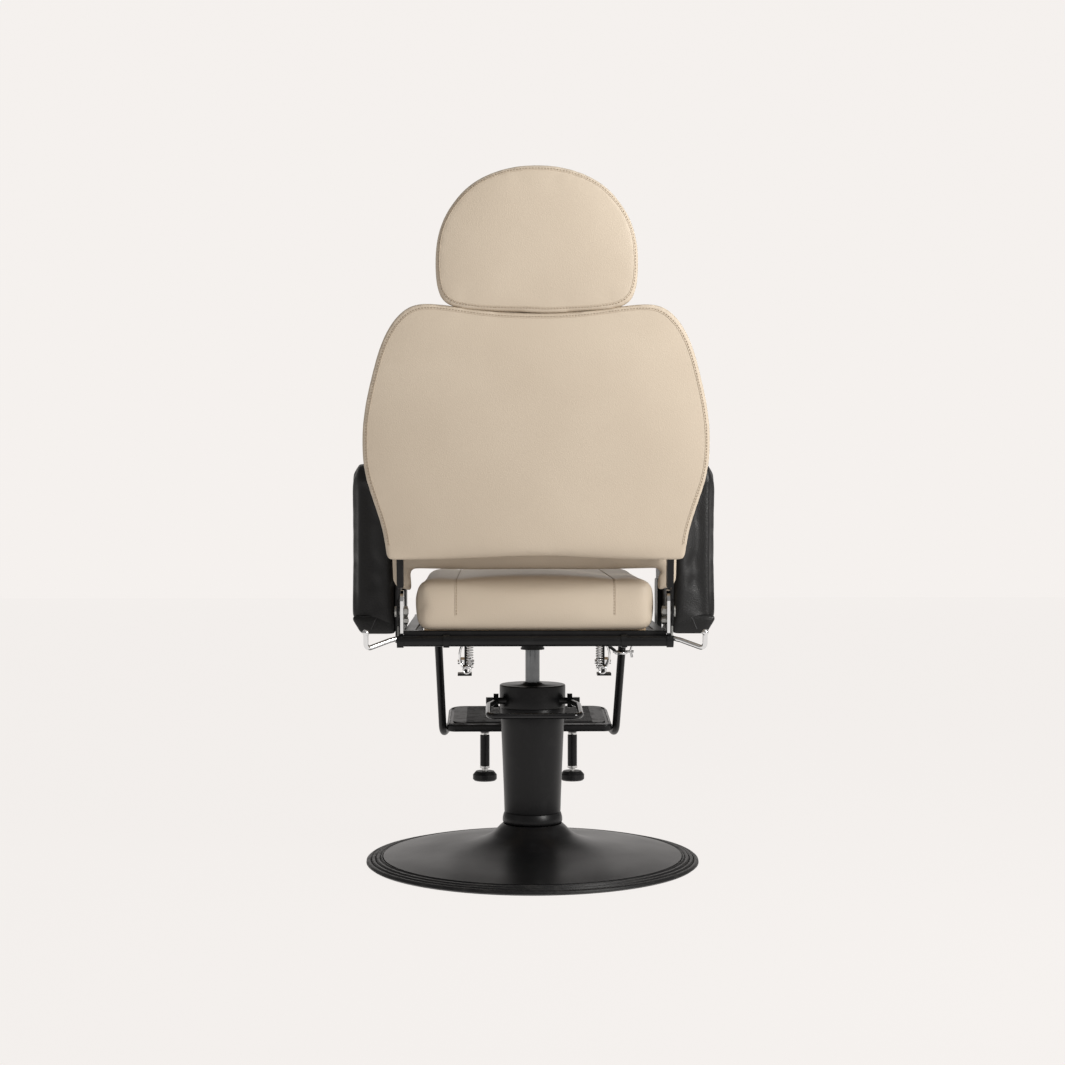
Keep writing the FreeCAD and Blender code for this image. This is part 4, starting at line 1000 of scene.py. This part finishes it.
skirt_low, skirt_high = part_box("arm_panels")
skirt_ring = even_ring(section("arm_panels", "Y", 0.0), 0.004)
if skirt_ring[0].x < 0:
    skirt_ring = [Vector((-p.x, p.y, p.z)) for p in skirt_ring]
skirt = blank(drawn_out("arm_skirt", skirt_ring, "Y", skirt_low.y + 0.001, skirt_high.y - 0.001, 0.004))
apply_modifier(skirt, "SMOOTH", factor=0.5, iterations=3)
cover_up(skirt, "arm_skirt_left")
skirt_tree = tree_of(skirt)
seam_path = [Vector((0.272 + 0.010 * k / 12, skirt_high.y + 0.01, skirt_high.z - 0.001 - 0.026 * k / 12))
             for k in range(13)]
skirt_seam = round_bar("arm_skirt_seam_left", [p for p, _ in on_surface(skirt_tree, seam_path)], 0.0009, False)
for side, parts in (("left", (arm, skirt, skirt_seam)),
                    ("right", (other_hand(arm, "arm_cover_right"), other_hand(skirt, "arm_skirt_right"),
                               other_hand(skirt_seam, "arm_skirt_seam_right")))):
    pad, panel, sewn = parts
    finish_piece(pad, "seat", "black_leather", BLACK, "arm_pad_" + side)
    finish_piece(panel, "seat", "black_leather", BLACK, "arm_panels")
    finish_piece(sewn, "seat", "black_leather", BLACK_THREAD)
dress(POWDER, "arm_brackets")


# ---------------------------------------------------------------------------
# The steelwork under the seat: square tube painted satin black, chromed hinge
# plates, zinc bolts, the release lever across the back and the spring lugs.
# ---------------------------------------------------------------------------
dress(POWDER, "side_rails", "centre_beams", "front_cross_tube", "rear_cross_tube", "mounting_plate", "swivel_hub",
      "spring_lugs", "torque_tube", "lever_bearings", "footrest_hangers")
dress(CHROME, "hinge_plates", "lever_rods", "lug_bolts")
dress(ZINC, "plate_bolts", "hinge_bolts", "arm_bolts", "footrest_bolts", "pawls")
lug_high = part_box("spring_lugs")[1]
LUG_X = lug_high.x - 0.014
LUG_REAR_Y = lug_high.y + 0.005
COIL_TURNS = 9
COIL_STEPS = 14
COIL_R = 0.0052
COIL_RISE = 0.0042
COIL_WIRE_R = 0.0011
HOOK_R = 0.0021
EYE_R = 0.006
EYE_STEPS = 20
for label, sign in (("left", 1), ("right", -1)):
    coil = []
    for k in range(COIL_TURNS * COIL_STEPS + 1):
        turn = math.tau * k / COIL_STEPS
        coil.append(Vector((sign * (LUG_X - 0.007) + COIL_R * math.cos(turn),
                            LUG_REAR_Y + COIL_R * math.sin(turn),
                            lug_high.z - 0.010 - COIL_RISE * k / COIL_STEPS)))
    spring = round_bar("lug_spring_" + label, coil, COIL_WIRE_R, False)
    finish_piece(spring, "seat", "chrome_plate", CHROME)
    sweep = flowing([(0.002, -0.004), (0.008, -0.012), (0.0105, -0.024), (0.0095, -0.036), (0.005, -0.045),
                     (-0.002, -0.048)], 5)
    hook_line = [Vector((sign * (LUG_X + x), LUG_REAR_Y, lug_high.z + z)) for x, z in sweep]
    hook = round_bar("lug_hook_" + label, hook_line, HOOK_R, False, 10)
    finish_piece(hook, "seat", "chrome_plate", CHROME)
    eye = [Vector((sign * (LUG_X - 0.002) + EYE_R * math.cos(math.tau * k / EYE_STEPS), LUG_REAR_Y + 0.004,
                   lug_high.z - 0.050 + EYE_R * math.sin(math.tau * k / EYE_STEPS))) for k in range(EYE_STEPS)]
    finish_piece(round_bar("lug_eye_" + label, eye, 0.0018, True), "seat", "chrome_plate", CHROME)


# ---------------------------------------------------------------------------
# The footrest: two round bars swing from the frame and carry a steel plate
# with a ribbed rubber mat, and below it two sleeves with rubber-footed stems.
# ---------------------------------------------------------------------------
footrest_pivot = Vector(next(joint for joint in frame["joints"] if joint["name"] == "footrest_swing")["pos_m"])
PLATE_REAR_Y = -0.270
PLATE_TOP_Z = footrest_pivot.z - 0.184
PLATE_T = 0.014
heel = Vector((0, PLATE_REAR_Y, PLATE_TOP_Z))
TILTED = Matrix.Translation(heel) @ Matrix.Rotation(math.radians(-4), 4, "X") @ Matrix.Translation(-heel)
plate_ring = even_ring(section("footplate", "Z", PLATE_TOP_Z - 0.005, TILTED.inverted()), 0.003)
tread = drawn_out("footrest_plate", plate_ring, "Z", PLATE_TOP_Z - PLATE_T, PLATE_TOP_Z - 0.0004, 0.003)
tread.data.transform(TILTED)
settle(tread, "footrest_plate", 40)
finish_piece(tread, "footrest", "satin_black_steel", POWDER, "footplate")
for name, inset, radius in (("plate_edge", 0.0045, 0.0016), ("mat_edge", 0.0125, 0.0011)):
    line = [TILTED @ Vector((p.x, p.y, PLATE_TOP_Z + 0.0002)) for p in inset_ring(plate_ring, "Z", inset)]
    finish_piece(round_bar(name, line, radius, True), "footrest", "gloss_black_steel", WORN)


def set_down(piece, place):
    """A turned piece set down at its place in the chair."""
    piece.data.transform(Matrix.Translation(place))
    return settle(piece, piece.name, 40)


low_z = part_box("foot_sleeves")[0].z
stem_low, stem_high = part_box("foot_stem_left")
post_x = (stem_low.x + stem_high.x) / 2
post_y = (stem_low.y + stem_high.y) / 2
head_z = PLATE_TOP_Z - PLATE_T - 0.006
SLEEVE_R = 0.0095
BORE_R = 0.0062
sleeve_shape = [(BORE_R, low_z + 0.005), (SLEEVE_R - 0.0008, low_z + 0.005), (SLEEVE_R, low_z + 0.006),
                (SLEEVE_R, head_z - 0.013), (SLEEVE_R - 0.0008, head_z - 0.012), (BORE_R, head_z - 0.012)]
head_shape = [(BORE_R, head_z - 0.006), (0.0105, head_z - 0.006), (0.0115, head_z - 0.005), (0.0115, head_z + 0.0015),
              (0.0095, head_z + 0.0035), (BORE_R, head_z + 0.0035)]
neck_shape = [(BORE_R, head_z - 0.012), (0.0082, head_z - 0.012), (0.0086, head_z - 0.0112),
              (0.0086, head_z - 0.0068), (0.0082, head_z - 0.006), (BORE_R, head_z - 0.006)]
foot_shape = [(BORE_R, low_z), (0.0094, low_z), (0.0102, low_z + 0.001), (0.0102, low_z + 0.004),
              (0.0094, low_z + 0.005), (BORE_R, low_z + 0.005)]
for label, sign in (("left", 1), ("right", -1)):
    place = Vector((sign * post_x, post_y, 0))
    for name, shape, slot, finish in (("sleeve", sleeve_shape, "satin_black_steel", POWDER),
                                      ("head", head_shape, "satin_black_steel", POWDER),
                                      ("neck_ring", neck_shape, "zinc_steel", BRIGHT_ZINC),
                                      ("foot_ring", foot_shape, "zinc_steel", BRIGHT_ZINC)):
        turned_piece = set_down(lathe("foot_%s_%s" % (name, label), shape, 48), place)
        finish_piece(turned_piece, "footrest", slot, finish, *(["foot_sleeves"] if name == "sleeve" else []))

# the clamp and wing nut that lock the swing, on one tube only
CLAMP_Z = 0.362
clamp_x = -0.1735
clamp_y = -0.193
ring_path = [Vector((clamp_x + 0.0105 * math.cos(math.tau * k / 24), clamp_y + 0.0105 * math.sin(math.tau * k / 24),
                     CLAMP_Z)) for k in range(24)]
clamp = round_bar("clamp_band", ring_path, 0.0034, True, 10)
ear = round_bar("clamp_screw", [Vector((clamp_x - 0.024, clamp_y + 0.004, CLAMP_Z + 0.002)),
                                Vector((clamp_x + 0.016, clamp_y + 0.004, CLAMP_Z + 0.002))], 0.0026, False, 10)
wing = round_bar("clamp_wing", [Vector((clamp_x - 0.021, clamp_y + 0.004, CLAMP_Z + 0.013)),
                                Vector((clamp_x - 0.018, clamp_y + 0.004, CLAMP_Z + 0.004)),
                                Vector((clamp_x - 0.021, clamp_y + 0.004, CLAMP_Z - 0.009))], 0.0024, False, 10)
stay = round_bar("clamp_stay", [Vector((clamp_x + 0.012, clamp_y + 0.006, CLAMP_Z + 0.004)),
                                Vector((clamp_x + 0.031, clamp_y + 0.016, CLAMP_Z + 0.019))], 0.0030, False, 10)
for piece in (clamp, ear, wing):
    finish_piece(piece, "footrest", "chrome_plate", CHROME)
finish_piece(stay, "footrest", "satin_black_steel", POWDER)

dress(POWDER, "footrest_tube_left", "footrest_tube_right")
dress(RUBBER, "tread_mat", "foot_pad_left", "foot_pad_right")
dress(BRIGHT_ZINC, "foot_stem_left", "foot_stem_right")
